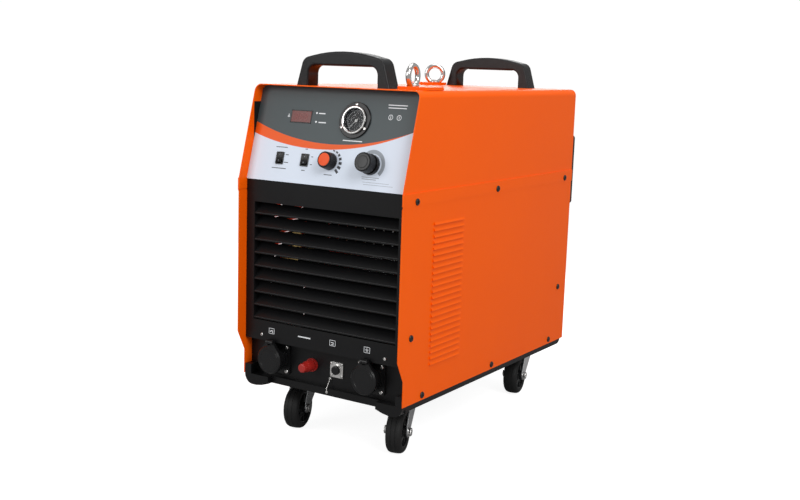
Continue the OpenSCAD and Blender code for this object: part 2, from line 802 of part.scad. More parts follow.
module case_screws() {
    color([0.12, 0.1, 0.1]) {
        for (p = side_screws, s = [-1, 1])
            translate([s * (hw + (p[1] > overlap_z ? sheet : 0)), p[0], p[1]])
                rotate([0, 90 * s, 0]) screw(screw_d, head_d, 2.4, 6);
        for (y = handle_y, s = [-1, 1])
            translate([s * handle_hole, y, roof_z - sheet]) {
                translate([0, 0, -3]) cylinder(h = 3, d = 11);
                cylinder(h = 15, d = 6);
            }
    }
}

module panel_screws() {
    color("silver") {
        for (i = [0:2])
            on_slope(gauge_at + gauge_screw_r * [cos(90 + 120 * i), sin(90 + 120 * i)], film_t + 3) screw(2.5, 5.4, 1.6, 8);
        for (p = [torch_at, earth_at], sx = [-1, 1], sz = [-1, 1])
            on_front(bay_y, p + flange_screw * [sx, sz], 4) screw(4, 7.4, 2.2, 10);
        for (sx = [-1, 1], sz = [-1, 1])
            on_front(bay_y, control_at + (control_w / 2 - 2.8) * [sx, sz], 2.4) screw(3, 5, 1.3, 8);
        for (s = [-1, 1]) on_front(panel_y, [s * 127, 178]) screw(3.2, 5.6, 1.4, 8);
    }
}

// ---- casters ----

// Swivel position and rest turn of each caster
casters = [[-caster_x, caster_y0, 14], [caster_x, caster_y0, 18], [-caster_x, caster_y1, 12], [caster_x, caster_y1, 10]];

module each_caster() {
    for (c = casters) translate([c[0], c[1], tray_z]) children();
}

module plate_holes(h) {
    for (sx = [-1, 1], sy = [-1, 1]) translate([sx * 22.5, sy * 37.5, 0]) cylinder(h = 2 * h, d = 8.4, center = true);
}

// Mounting plates with the upper ball race, king pin and bolts
module caster_plates() {
    color("silver") each_caster() {
        difference() {
            union() {
                translate([0, 0, -plate_t]) linear_extrude(plate_t) round_rect(66, 94, 6);
                translate([0, 0, -plate_t - race_t]) cylinder(h = race_t + eps, d1 = race_d - 6, d2 = race_d);
                translate([0, 0, -plate_t - race_t - 6]) cylinder(h = 8, d = king_d);
                translate([0, 0, -plate_t - race_t - 7]) cylinder(h = 3, d = 17);
            }
            plate_holes(plate_t + 1);
        }
        for (sx = [-1, 1], sy = [-1, 1]) translate([sx * 22.5, sy * 37.5, 0]) {
            translate([0, 0, -plate_t - 5]) cylinder(h = 5, d = 13);
            translate([0, 0, -plate_t - eps]) cylinder(h = 10, d = 8);
        }
    }
}

// Fork with its axle bolt, drawn about the swivel axis, axle towards the front
module fork(c) {
    axle_z = wheel_r - tray_z;
    top_z = crown_z - tray_z;
    boss = 9;
    color("gainsboro") translate([c[0], c[1], tray_z]) rotate([0, 0, c[2]]) union() {
        difference() {
            union() {
                translate([0, 0, top_z - crown_t]) linear_extrude(crown_t) union() {
                    circle(d = 48);
                    translate([-leg_in - leg_t, -22]) square([2 * (leg_in + leg_t), 44]);
                }
                for (s = [-1, 1]) translate([s * (leg_in + leg_t / 2) - leg_t / 2, 0, 0]) rotate([90, 0, 90]) linear_extrude(leg_t) union() {
                    polygon([[-22, top_z], [22, top_z], [22, top_z - 12],
                        [-trail + boss * cos(-20), axle_z + boss * sin(-20)],
                        [-trail + boss * cos(-100), axle_z + boss * sin(-100)],
                        [-trail - boss, axle_z], [-trail - boss + 1, axle_z + 12], [-22, top_z - 8]]);
                    translate([-trail, axle_z]) circle(boss);
                }
            }
            translate([0, 0, top_z - crown_t - 1]) cylinder(h = crown_t + 2, d = king_d + 0.12);
            translate([0, -trail, axle_z]) rotate([0, 90, 0]) cylinder(h = 60, d = axle_d, center = true);
        }
        translate([0, -trail, axle_z]) rotate([0, 90, 0]) {
            cylinder(h = 2 * (leg_in + leg_t) + 8, d = axle_d, center = true);
            translate([0, 0, leg_in + leg_t]) cylinder(h = 4.5, d = 13);
            translate([0, 0, -leg_in - leg_t - 4.5]) cylinder(h = 4.5, d = 13);
        }
    }
}

// Wheel: moulded hub with a rubber tyre, rounded at the shoulders
module wheel(c) {
    shoulder = 8;
    half = wheel_w / 2;
    rim_r = 26;
    color([0.12, 0.12, 0.12]) translate([c[0], c[1], wheel_r]) rotate([0, 0, c[2]]) translate([0, -trail, 0])
        rotate([0, 90, 0]) difference() {
            rotate_extrude() union() {
                translate([0, -half]) square([wheel_r - shoulder, wheel_w]);
                translate([0, -half + shoulder]) square([wheel_r, wheel_w - 2 * shoulder]);
                for (s = [-1, 1]) translate([wheel_r - shoulder, s * (half - shoulder)]) circle(shoulder);
                translate([0, -leg_in + 0.6]) square([9, 2 * leg_in - 1.2]);
            }
            for (s = [-1, 1]) translate([0, 0, s * half]) difference() {
                cylinder(h = 8, d = 2 * rim_r, center = true);
                cylinder(h = 10, d = 26, center = true);
            }
            cylinder(h = 60, d = axle_d + 0.12, center = true);
        }
}

module fork_fl() {
    fork(casters[0]);
}

module fork_fr() {
    fork(casters[1]);
}

module fork_rl() {
    fork(casters[2]);
}

module fork_rr() {
    fork(casters[3]);
}

module wheel_fl() {
    wheel(casters[0]);
}

module wheel_fr() {
    wheel(casters[1]);
}

module wheel_rl() {
    wheel(casters[2]);
}

module wheel_rr() {
    wheel(casters[3]);
}

// ---- inside the cabinet ----

// Bridge that carries the power stage over the wound parts
module inner_frame() {
    leg_x = 150;
    t = 2;
    y0 = front_y + 70;
    y1 = rear_y - 75;
    color("silver") difference() {
        union() {
            slab([-leg_x, y0, shelf_z - t], [leg_x, y1, shelf_z]);
            for (s = [-1, 1]) slab([s * (leg_x - t / 2) - t / 2, y0, tray_z + 2], [s * (leg_x - t / 2) + t / 2, y1, shelf_z]);
        }
        for (s = [-1, 1], y = [-120:120:120])
            slab([s * leg_x - 5, y - 45, tray_z + 40], [s * leg_x + 5, y + 45, shelf_z - 40]);
    }
}

module heat_sink() {
    fins = 13;
    w = 240;
    color("lightgray") union() {
        slab([-w / 2, -130, shelf_z], [w / 2, 150, shelf_z + 10]);
        for (i = [0:fins - 1]) {
            x = -w / 2 + i * (w - 3) / (fins - 1);
            slab([x, -130, shelf_z + 10 - eps], [x + 3, 150, shelf_z + 60]);
        }
    }
}

module power_board() {
    board_z = shelf_z + 68;
    color("darkgreen") union() {
        slab([-130, -130, board_z], [130, 150, board_z + 1.6]);
        for (sx = [-1, 1], y = [-125, 145]) translate([sx * 126, y, shelf_z]) cylinder(h = 68.1, d = 7);
        for (x = [-95:38:95], y = [-95, -50]) translate([x, y, board_z + 1.5]) cylinder(h = 45, d = 30);
        for (x = [-90, 0, 90]) slab([x - 25, 20, board_z + 1.5], [x + 25, 60, board_z + 30]);
    }
}

// Display and control board behind the leaning panel, with the current setting potentiometer
module control_board() {
    color("darkgreen") on_slope() union() {
        slab([-140, 12, -24], [10, 140, -22.4]);
        translate([display_at[0] - 22, display_at[1] - 11, -22.5]) cube([44, 22, 20]);
        translate([knob_at[0], knob_at[1], -22.5]) cylinder(h = 10, d = 16);
        translate([knob_at[0], knob_at[1], -13]) cylinder(h = 24.4, d = 6);
        for (p = [[-132, 20], [-132, 132], [-20, 132]]) translate([p[0], p[1], -22.5]) cylinder(h = 20.5, d = 6);
    }
}

module main_transformer() {
    core = [110, 120, 36];
    z = tray_z + 2;
    color("peru") translate([-60, 60, z]) union() {
        for (k = [0, 1]) translate([-core[0] / 2, -core[1] / 2, 6 + k * 84]) cube(core - [0, 0, 8]);
        for (y = [-50, 50]) translate([-core[0] / 2, y - 10, 33]) cube([core[0], 20, 58]);
        translate([0, 0, 33.5]) cylinder(h = 57, d = 78);
        for (sx = [-1, 1], sy = [-1, 1]) translate([sx * 45, sy * 50, 0]) cylinder(h = 6.1, d = 12);
    }
}

module output_inductor() {
    color("goldenrod") translate([78, 70, tray_z + 2]) union() {
        translate([0, 0, 30]) rotate_extrude() translate([38, 0]) round_rect(36, 48, 9);
        cylinder(h = 8, d = 90);
    }
}

module solenoid_valve() {
    color("gold") translate([-110, front_y + 95, shelf_z]) union() {
        translate([-18, -22, 0]) cube([36, 44, 24]);
        translate([0, 0, 23.9]) cylinder(h = 36, d = 30);
        for (s = [-1, 1]) translate([0, s * 22, 12]) rotate([-90 * s, 0, 0]) cylinder(h = 14, d = 13);
    }
}

// ---- rear fittings ----

module breaker() {
    color([0.85, 0.85, 0.83]) on_rear(breaker_at) difference() {
        union() {
            slab([-breaker_w / 2, -42, -68], [breaker_w / 2, 42, -sheet - gap]);
            slab([-breaker_w / 2, -23, -10], [breaker_w / 2, 23, 7]);
        }
        translate([0, 0, 2]) rotate([0, 90, 0]) cylinder(h = 42, d = 17.12, center = true);
        slab([-21, -8.56, 2], [21, 8.56, 8]);
    }
}

// Ganged lever of the breaker, thrown down
module breaker_lever() {
    color([0.1, 0.1, 0.12]) on_rear(breaker_at, 2) rotate([0, 90, 0]) union() {
        cylinder(h = 40, d = 17, center = true);
        rotate([0, 0, 148]) slab([6, -2.5, -17], [19, 2.5, 17]);
    }
}

module cable_gland() {
    color([0.1, 0.1, 0.1]) on_rear(gland_at) difference() {
        union() {
            translate([0, 0, -14]) cylinder(h = 15, d = 22);
            cylinder(h = 6, d = 32, $fn = 6);
            translate([0, 0, 6 - eps]) cylinder(h = 3, d = 25);
            translate([0, 0, 9 - 2 * eps]) cylinder(h = 16, d = 30, $fn = 6);
            translate([0, 0, 25 - 3 * eps]) cylinder(h = 6, d1 = 27, d2 = 21);
            translate([0, 0, -sheet - 6]) cylinder(h = 6 - gap, d = 32, $fn = 6);
        }
        translate([0, 0, -20]) cylinder(h = 60, d = gland_bore);
    }
}

// Compressed-air inlet: bulkhead body with a plain hose spigot
module air_inlet() {
    color("gold") on_rear(inlet_at) difference() {
        union() {
            translate([0, 0, -20]) cylinder(h = 21, d = 14);
            cylinder(h = 9, d = 24, $fn = 6);
            translate([0, 0, 9 - eps]) cylinder(h = 3, d = 16);
            translate([0, 0, 12 - 2 * eps]) cylinder(h = rear_out + 5 - 12 + 2 * eps, d = spigot_d);
            translate([0, 0, -sheet - 5]) cylinder(h = 5 - gap, d = 22, $fn = 6);
        }
        translate([0, 0, -30]) cylinder(h = 90, d = 6);
    }
}

base_tray();
louvre_panel();
louvre_blades();
connector_panel();
front_bumper();
control_panel();
control_film();
top_cover();
side_panel_left();
side_panel_right();
rear_panel();
fan_cowl();
fan_frames();
fan_rotor_left();
fan_rotor_right();
handles();
case_screws();
eye_bolts();
lifting_plates();
display_window();
gauge_case();
gauge_dial();
gauge_needle();
gauge_lens();
panel_screws();
switch_housings();
rocker_left();
rocker_right();
current_knob();
current_knob_cap();
regulator_knob();
regulator_body();
output_sockets();
torch_lid();
earth_lid();
pilot_post();
pilot_knob();
control_socket();
control_cap();
cap_chain();
caster_plates();
fork_fl();
fork_fr();
fork_rl();
fork_rr();
wheel_fl();
wheel_fr();
wheel_rl();
wheel_rr();
inner_frame();
heat_sink();
power_board();
control_board();
main_transformer();
output_inductor();
solenoid_valve();
breaker();
breaker_lever();
cable_gland();
air_inlet();
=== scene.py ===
import json
import math

import bmesh
import bpy
from mathutils import Matrix, Vector


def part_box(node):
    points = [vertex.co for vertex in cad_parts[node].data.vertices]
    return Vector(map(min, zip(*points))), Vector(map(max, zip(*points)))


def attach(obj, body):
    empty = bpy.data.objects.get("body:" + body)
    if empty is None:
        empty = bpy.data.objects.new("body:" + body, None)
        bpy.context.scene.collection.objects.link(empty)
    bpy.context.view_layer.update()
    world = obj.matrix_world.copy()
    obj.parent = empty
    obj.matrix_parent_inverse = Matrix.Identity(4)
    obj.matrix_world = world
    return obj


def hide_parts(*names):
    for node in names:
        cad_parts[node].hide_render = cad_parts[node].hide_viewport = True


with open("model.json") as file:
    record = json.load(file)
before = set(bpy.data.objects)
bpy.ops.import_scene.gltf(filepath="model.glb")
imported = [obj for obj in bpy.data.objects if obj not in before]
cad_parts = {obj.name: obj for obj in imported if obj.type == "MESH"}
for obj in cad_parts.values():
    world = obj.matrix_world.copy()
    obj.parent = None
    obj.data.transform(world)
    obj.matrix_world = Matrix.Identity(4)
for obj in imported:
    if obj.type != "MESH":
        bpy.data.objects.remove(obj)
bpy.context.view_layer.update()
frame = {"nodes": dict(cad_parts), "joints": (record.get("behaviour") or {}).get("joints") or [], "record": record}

NODES = frame["nodes"]
BODY = {n: b for b, ns in frame["record"]["behaviour"]["bodies"].items() for n in ns}
SLOT = {s["node"]: s["material_slot"] for s in frame["record"]["subparts"]}
JOINT = {j["name"]: j for j in frame["joints"]}
MM = 0.001


# ---- places ----

def middle(node):
    lo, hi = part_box(node)
    return (lo + hi) / 2


def basis(x, y, z, at):
    m = Matrix.Identity(4)
    for i, axis in enumerate((x, y, z)):
        m.col[i][:3] = axis
    m.col[3][:3] = at
    return m


OUT = -Vector(JOINT["current_turn"]["axis"]).normalized()
UP_SLOPE = Vector((0, OUT.z, -OUT.y))
CABINET_LO, CABINET_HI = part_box("top_cover")
FILM_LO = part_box("control_film")[0]
FRONT_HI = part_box("louvre_panel")[1]
REAR_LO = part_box("rear_panel")[0]
X, Y, Z = Vector((1, 0, 0)), Vector((0, 1, 0)), Vector((0, 0, 1))
SHEET = 1.5 * MM
ROOF_BEND = 30 * MM
INNER_X = FRONT_HI.x + SHEET / 3
FILM_T = 0.4 * MM
CREASE = Vector((0, FILM_LO.y, FILM_LO.z + FILM_T * OUT.z)) + 2 * MM * UP_SLOPE


def on_slope(at, h=0.0):
    """Frame on the control film: X across, Y up the slope, Z out of it."""
    return basis(X, UP_SLOPE, OUT, Vector(at) + h * MM * OUT)


def on_film(x, s, h=0.0):
    """The same frame at x across and s up the slope from the crease, in mm."""
    return on_slope(CREASE + x * MM * X + s * MM * UP_SLOPE, h)


def on_front(at, h=0.0):
    return basis(X, Z, -Y, Vector(at) - h * MM * Y)


def on_rear(at, h=0.0):
    return basis(-X, Z, Y, Vector(at) + h * MM * Y)


def on_side(at, s):
    return basis(s * Y, Z, s * X, Vector(at))


# ---- mesh making ----

def mesh_object(name, bm, material=None):
    mesh = bpy.data.meshes.new(name)
    bm.to_mesh(mesh)
    bm.free()
    ob = bpy.data.objects.new(name, mesh)
    bpy.context.scene.collection.objects.link(ob)
    if material:
        mesh.materials.append(material)
    return ob


def smooth(ob, angle=35):
    for p in ob.data.polygons:
        p.use_smooth = True
    ob.data.set_sharp_from_angle(angle=math.radians(angle))
    mod = ob.modifiers.new("even shading", "WEIGHTED_NORMAL")
    mod.keep_sharp = True
    return ob


def piece(name, bm, node, finish_name=None, angle=35, stands_for=True):
    """Makes a mesh into a finished piece that moves with a node's body."""
    label = finish_name or SLOT[node]
    ob = smooth(mesh_object(name, bm, FINISH[label]), angle)
    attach(ob, BODY[node])
    if stands_for:
        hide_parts(node)
    return ob


def round_edges(bm, width, segments=2, angle=30, keep=None):
    edges = [e for e in bm.edges if len(e.link_faces) == 2
             and e.calc_face_angle(0) > math.radians(angle) and (keep is None or keep(e))]
    bmesh.ops.bevel(bm, geom=edges, offset=width * MM, segments=segments, profile=0.5,
                    affect="EDGES", material=-1, clamp_overlap=True)


def cad_mesh(node):
    """A node's mesh with its loose triangles joined into whole faces."""
    bm = bmesh.new()
    bm.from_mesh(NODES[node].data)
    bmesh.ops.remove_doubles(bm, verts=bm.verts, dist=2e-6)
    bmesh.ops.dissolve_limit(bm, angle_limit=math.radians(1), verts=bm.verts, edges=bm.edges)
    return bm


def soften(node, width, segments=2, angle=30, keep=None):
    """A copy of a node with its sharp edges rounded, shown in the node's place."""
    bm = cad_mesh(node)
    round_edges(bm, width, segments, angle, keep)
    return piece(node + "_skin", bm, node)


def turned(profile, steps=64, bevel=0.0, segments=2):
    """Turns (radius, height) points in mm about Z. A profile that starts and ends at radius 0 is closed."""
    bm = bmesh.new()
    verts = [bm.verts.new((r * MM, 0, z * MM)) for r, z in profile]
    edges = [bm.edges.new(pair) for pair in zip(verts, verts[1:])]
    bmesh.ops.spin(bm, geom=verts + edges, cent=(0, 0, 0), axis=(0, 0, 1), dvec=(0, 0, 0),
                   angle=2 * math.pi, steps=steps, use_merge=True, use_duplicate=False)
    bmesh.ops.remove_doubles(bm, verts=bm.verts, dist=1e-6)
    bmesh.ops.recalc_face_normals(bm, faces=bm.faces)
    if bevel:
        round_edges(bm, bevel, segments)
    return bm


def ring_profile(inner, outer, z0, z1):
    """Closed loop of a ring's section, to be turned."""
    return [(inner, z0), (outer, z0), (outer, z1), (inner, z1), (inner, z0)]


def box_bm(w, d, h, at=(0, 0, 0), bevel=0.0, segments=2):
    """Box of w x d x h mm that stands on Z = 0 at a place."""
    bm = bmesh.new()
    bmesh.ops.create_cube(bm, size=1)
    bmesh.ops.scale(bm, vec=(w * MM, d * MM, h * MM), verts=bm.verts)
    bmesh.ops.translate(bm, vec=(at[0] * MM, at[1] * MM, (at[2] + h / 2) * MM), verts=bm.verts)
    if bevel:
        round_edges(bm, bevel, segments)
    return bm


def join(target, source, matrix=None, slot_index=None):
    """Adds a copy of one mesh to another, and frees it."""
    if matrix:
        bmesh.ops.transform(source, matrix=matrix, verts=source.verts)
        if matrix.determinant() < 0:
            bmesh.ops.reverse_faces(source, faces=source.faces)
    if slot_index is not None:
        for f in source.faces:
            f.material_index = slot_index
    mesh = bpy.data.meshes.new("part")
    source.to_mesh(mesh)
    source.free()
    target.from_mesh(mesh)
    bpy.data.meshes.remove(mesh)
    return target


def placed(bm, matrix):
    bmesh.ops.transform(bm, matrix=matrix, verts=bm.verts)
    return bm


def turn(angle):
    return Matrix.Rotation(math.radians(angle), 4, "Z")


def shift(x, y, z=0.0):
    return Matrix.Translation((x * MM, y * MM, z * MM))


# ---- screws ----

def cross_head(r, h, shank_r=0.0, shank=0.0, steps=24):
    """Domed head with a cross recess, pointing out along Z."""
    bm = bmesh.new()
    arm, half = r * 0.52, r * 0.13
    corners = [(arm, half), (half, half), (half, arm), (-half, arm), (-half, half), (-arm, half),
               (-arm, -half), (-half, -half), (-half, -arm), (half, -arm), (half, -half), (arm, -half)]
    rim = [bm.verts.new((x * MM, y * MM, h * MM)) for x, y in corners]
    floor = bm.faces.new(rim)
    sunk = bmesh.ops.extrude_discrete_faces(bm, faces=[floor])["faces"][0]
    low = list(sunk.verts)
    bmesh.ops.translate(bm, vec=(0, 0, -0.75 * h * MM), verts=low)
    bmesh.ops.scale(bm, vec=(0.8, 0.8, 1), verts=low)
    loops = [e for e in bm.edges if len(e.link_faces) == 1 and all(v in rim for v in e.verts)]
    rings = []
    shape = [(0.72, 0.97), (0.9, 0.78), (1.0, 0.42), (1.0, 0.0)]
    if shank:
        shape += [(shank_r / r, 0.0), (shank_r / r, -shank / h)]
    for fr, fz in shape:
        made = bmesh.ops.create_circle(bm, cap_ends=False, segments=steps, radius=r * fr * MM)["verts"]
        bmesh.ops.translate(bm, vec=(0, 0, h * fz * MM), verts=made)
        rings.append(list({e for v in made for e in v.link_edges}))
    bmesh.ops.bridge_loops(bm, edges=loops + rings[0])
    for a, b in zip(rings, rings[1:]):
        bmesh.ops.bridge_loops(bm, edges=a + b)
    bmesh.ops.contextual_create(bm, geom=rings[-1])
    bmesh.ops.recalc_face_normals(bm, faces=bm.faces)
    return bm


def screw_set(name, node, places, r, h, shank_r, shank, stands_for=True):
    """One piece of identical screws, each turned a little differently."""
    bm = bmesh.new()
    for i, place in enumerate(places):
        join(bm, cross_head(r, h, shank_r, shank), place @ turn(17 + 41 * i))
    return piece(name, bm, node, stands_for=stands_for, angle=40)


# ---- shader groups and finishes ----

def group(name, inputs, outputs):
    tree = bpy.data.node_groups.new(name, "ShaderNodeTree")
    for label, kind, value in inputs:
        s = tree.interface.new_socket(label, in_out="INPUT", socket_type=kind)
        if value is not None:
            s.default_value = value
    for label, kind in outputs:
        tree.interface.new_socket(label, in_out="OUTPUT", socket_type=kind)
    return tree, tree.nodes.new("NodeGroupInput"), tree.nodes.new("NodeGroupOutput")


def node_of(tree, kind, **values):
    n = tree.nodes.new(kind)
    for key, value in values.items():
        if hasattr(n, key):
            setattr(n, key, value)
        else:
            n.inputs[key.replace("_", " ")].default_value = value
    return n


def maths(tree, operation, a, b=None, clamp=False):
    n = tree.nodes.new("ShaderNodeMath")
    n.operation = operation
    n.use_clamp = clamp
    for i, v in enumerate((a, b)):
        if v is None:
            continue
        if isinstance(v, (int, float)):
            n.inputs[i].default_value = v
        else:
            tree.links.new(v, n.inputs[i])
    return n.outputs[0]


def grain_group():
    """Fine skin of paint or moulding: broad shade changes, a varying gloss and a bumpy normal."""
    tree, gin, gout = group("fine grain", [
        ("Scale", "NodeSocketFloat", 900.0), ("Depth", "NodeSocketFloat", 0.3),
        ("Gloss", "NodeSocketFloat", 0.4), ("Spread", "NodeSocketFloat", 0.08)],
        [("Shade", "NodeSocketFloat"), ("Roughness", "NodeSocketFloat"), ("Normal", "NodeSocketVector")])
    at = node_of(tree, "ShaderNodeTexCoord")
    fine = node_of(tree, "ShaderNodeTexNoise", Detail=3.0, Roughness=0.6)
    broad = node_of(tree, "ShaderNodeTexNoise", Scale=7.0, Detail=4.0)
    smear = node_of(tree, "ShaderNodeTexNoise", Scale=45.0, Detail=5.0, Roughness=0.7)
    for n in (fine, broad, smear):
        tree.links.new(at.outputs["Object"], n.inputs["Vector"])
    tree.links.new(gin.outputs["Scale"], fine.inputs["Scale"])
    bump = node_of(tree, "ShaderNodeBump", Distance=0.0004)
    tree.links.new(gin.outputs["Depth"], bump.inputs["Strength"])
    tree.links.new(fine.outputs["Fac"], bump.inputs["Height"])
    mix = maths(tree, "ADD", maths(tree, "MULTIPLY", broad.outputs["Fac"], 0.6),
                maths(tree, "MULTIPLY", smear.outputs["Fac"], 0.4))
    swing = maths(tree, "MULTIPLY", maths(tree, "SUBTRACT", mix, 0.5), gin.outputs["Spread"])
    rough = maths(tree, "ADD", gin.outputs["Gloss"], maths(tree, "MULTIPLY", swing, 2.0), clamp=True)
    tree.links.new(mix, gout.inputs["Shade"])
    tree.links.new(rough, gout.inputs["Roughness"])
    tree.links.new(bump.outputs["Normal"], gout.inputs["Normal"])
    return tree


def wear_group():
    """Mask of rubbed corners and edges, broken up by a coarse noise."""
    tree, gin, gout = group("edge wear", [
        ("Width", "NodeSocketFloat", 0.001), ("Amount", "NodeSocketFloat", 0.5)],
        [("Edge", "NodeSocketFloat")])
    bevel = node_of(tree, "ShaderNodeBevel", samples=4)
    tree.links.new(gin.outputs["Width"], bevel.inputs["Radius"])
    geo = node_of(tree, "ShaderNodeNewGeometry")
    dot = node_of(tree, "ShaderNodeVectorMath", operation="DOT_PRODUCT")
    tree.links.new(bevel.outputs["Normal"], dot.inputs[0])
    tree.links.new(geo.outputs["Normal"], dot.inputs[1])
    near = maths(tree, "MULTIPLY", maths(tree, "SUBTRACT", 1.0, dot.outputs["Value"]), 6.0, clamp=True)
    at = node_of(tree, "ShaderNodeTexCoord")
    patch = node_of(tree, "ShaderNodeTexNoise", Scale=38.0, Detail=6.0, Roughness=0.75)
    tree.links.new(at.outputs["Object"], patch.inputs["Vector"])
    worn = maths(tree, "MULTIPLY", maths(tree, "SUBTRACT", patch.outputs["Fac"], 0.42), 5.0, clamp=True)
    edge = maths(tree, "MULTIPLY", maths(tree, "MULTIPLY", near, worn), gin.outputs["Amount"], clamp=True)
    tree.links.new(edge, gout.inputs["Edge"])
    return tree


GRAIN = grain_group()
WEAR = wear_group()


def mix_colour(tree, factor, a, b, blend="MIX"):
    n = tree.nodes.new("ShaderNodeMix")
    n.data_type = "RGBA"
    n.blend_type = blend
    n.clamp_factor = True
    for i, v in ((0, factor), (6, a), (7, b)):
        if hasattr(v, "links"):
            tree.links.new(v, n.inputs[i])
        elif i == 0:
            n.inputs[0].default_value = v
        else:
            n.inputs[i].default_value = (*v, 1)
    return n.outputs[2]


def use(tree, source, **values):
    n = tree.nodes.new("ShaderNodeGroup")
    n.node_tree = source
    for key, value in values.items():
        n.inputs[key].default_value = value
    return n


def finish(name, light, dark, gloss=0.4, spread=0.1, scale=900.0, depth=0.25, metallic=0.0,
           worn=None, wear=0.0, wear_width=0.0008, coat=0.0, specular=0.5):
    """A finish with grain, shade changes and, where asked, rubbed edges of another colour."""
    mat = bpy.data.materials.new(name)
    mat.use_nodes = True
    tree = mat.node_tree
    skin = tree.nodes["Principled BSDF"]
    skin.inputs["Metallic"].default_value = metallic
    skin.inputs["Specular IOR Level"].default_value = specular
    if coat:
        skin.inputs["Coat Weight"].default_value = coat
        skin.inputs["Coat Roughness"].default_value = 0.12
    grain = use(tree, GRAIN, Scale=scale, Depth=depth, Gloss=gloss, Spread=spread)
    colour = mix_colour(tree, grain.outputs["Shade"], dark, light)
    rough = grain.outputs["Roughness"]
    if wear:
        edge = use(tree, WEAR, Width=wear_width, Amount=wear)
        colour = mix_colour(tree, edge.outputs["Edge"], colour, worn or light)
    tree.links.new(colour, skin.inputs["Base Color"])
    tree.links.new(rough, skin.inputs["Roughness"])
    tree.links.new(grain.outputs["Normal"], skin.inputs["Normal"])
    return mat


def seen_strength(tree, lighting, showing):
    """A strength that lights the object with one value and shows another one."""
    seen = tree.nodes.new("ShaderNodeLightPath")
    extra = maths(tree, "MULTIPLY", seen.outputs["Is Camera Ray"], showing - lighting)
    return maths(tree, "ADD", lighting, extra)


def floor_paint():
    """Pale floor that looks as white as the world behind it, but throws little light back."""
    mat = finish("floor paint", (0.4, 0.4, 0.4), (0.38, 0.38, 0.38), gloss=0.8, spread=0.02, scale=60,
                 depth=0.02, specular=0.1)
    skin = mat.node_tree.nodes["Principled BSDF"]
    skin.inputs["Emission Color"].default_value = (1, 1, 1, 1)
    mat.node_tree.links.new(seen_strength(mat.node_tree, 0.0, 0.88), skin.inputs["Emission Strength"])
    return mat


ORANGE, ORANGE_DEEP = (1.0, 0.127, 0.001), (0.94, 0.108, 0.001)
FINISH = {
    "orange_paint": finish("orange powder coat", ORANGE, ORANGE_DEEP, gloss=0.34, spread=0.06,
                           scale=1500, depth=0.12, worn=(1.0, 0.3, 0.08), wear=0.5, specular=0.09),
    "tray_paint": finish("black tray paint", (0.012, 0.012, 0.013), (0.008, 0.008, 0.009), gloss=0.45,
                         specular=0.2),
    "front_plastic": finish("satin front moulding", (0.007, 0.007, 0.0075), (0.0045, 0.0045, 0.005),
                            gloss=0.36, spread=0.12, scale=1800, depth=0.2, specular=0.22),
    "handle_plastic": finish("grained handle moulding", (0.009, 0.009, 0.0095), (0.006, 0.006, 0.0065),
                             gloss=0.34, spread=0.1, scale=1400, depth=0.4, specular=0.3),
    "panel_steel": finish("grey panel paint", (0.3, 0.31, 0.32), (0.25, 0.26, 0.27), gloss=0.4),
    "bright_steel": finish("bright plated steel", (0.78, 0.77, 0.75), (0.62, 0.61, 0.6), gloss=0.16,
                           spread=0.12, scale=300, depth=0.05, metallic=1.0),
    "zinc": finish("zinc plated steel", (0.72, 0.73, 0.74), (0.55, 0.56, 0.57), gloss=0.3,
                   spread=0.15, scale=260, depth=0.08, metallic=1.0),
    "black_screw": finish("black oxide", (0.03, 0.028, 0.028), (0.018, 0.017, 0.017), gloss=0.35,
                          metallic=0.4),
    "dark_window": finish("red display window", (0.15, 0.02, 0.014), (0.11, 0.014, 0.01), gloss=0.16,
                          depth=0.0, specular=0.3),
    "lens": finish("gauge lens", (0.05, 0.055, 0.06), (0.04, 0.045, 0.05), gloss=0.05,
                   depth=0.0, specular=0.3),
    "dial": finish("gauge dial", (0.02, 0.02, 0.021), (0.014, 0.014, 0.015), gloss=0.5, depth=0.05),
    "dim_segments": finish("display segments", (0.2, 0.022, 0.016), (0.17, 0.018, 0.013), gloss=0.3,
                           depth=0.0, specular=0.3),
    "white_print": finish("white print", (0.82, 0.84, 0.86), (0.72, 0.74, 0.76), gloss=0.45, depth=0.03),
    "dark_print": finish("dark print", (0.05, 0.055, 0.065), (0.035, 0.04, 0.05), gloss=0.45, depth=0.03),
    "grey_print": finish("grey print", (0.3, 0.33, 0.37), (0.26, 0.29, 0.33), gloss=0.45, depth=0.03),
    "needle": finish("needle paint", (0.8, 0.8, 0.78), (0.7, 0.7, 0.68)),
    "gloss_black": finish("gloss black moulding", (0.008, 0.008, 0.0085), (0.005, 0.005, 0.0055), gloss=0.28,
                          spread=0.1, scale=1200, depth=0.12, specular=0.3),
    "knob_orange": finish("orange knob cap", (0.86, 0.1, 0.012), (0.75, 0.07, 0.008), gloss=0.4,
                          specular=0.25),
    "red_plastic": finish("red insulation", (0.42, 0.02, 0.014), (0.3, 0.012, 0.01), gloss=0.3),
    "aluminium": finish("bare aluminium", (0.7, 0.71, 0.72), (0.55, 0.56, 0.57), gloss=0.4, metallic=1.0),
    "green_board": finish("coated circuit board", (0.02, 0.15, 0.05), (0.012, 0.1, 0.035), gloss=0.3),
    "winding": finish("varnished copper", (0.16, 0.055, 0.018), (0.1, 0.03, 0.01), gloss=0.35, metallic=0.3),
    "brass": finish("machined brass", (0.8, 0.58, 0.25), (0.65, 0.45, 0.17), gloss=0.25, metallic=1.0),
    "tyre": finish("black rubber", (0.014, 0.014, 0.014), (0.009, 0.009, 0.009), gloss=0.6, spread=0.2,
                   scale=700, depth=0.4, specular=0.25),
    "breaker_grey": finish("light grey moulding", (0.62, 0.62, 0.6), (0.54, 0.54, 0.52), gloss=0.4),
    "chain_steel": finish("nickel chain", (0.75, 0.74, 0.72), (0.6, 0.59, 0.57), gloss=0.25, metallic=1.0),
}


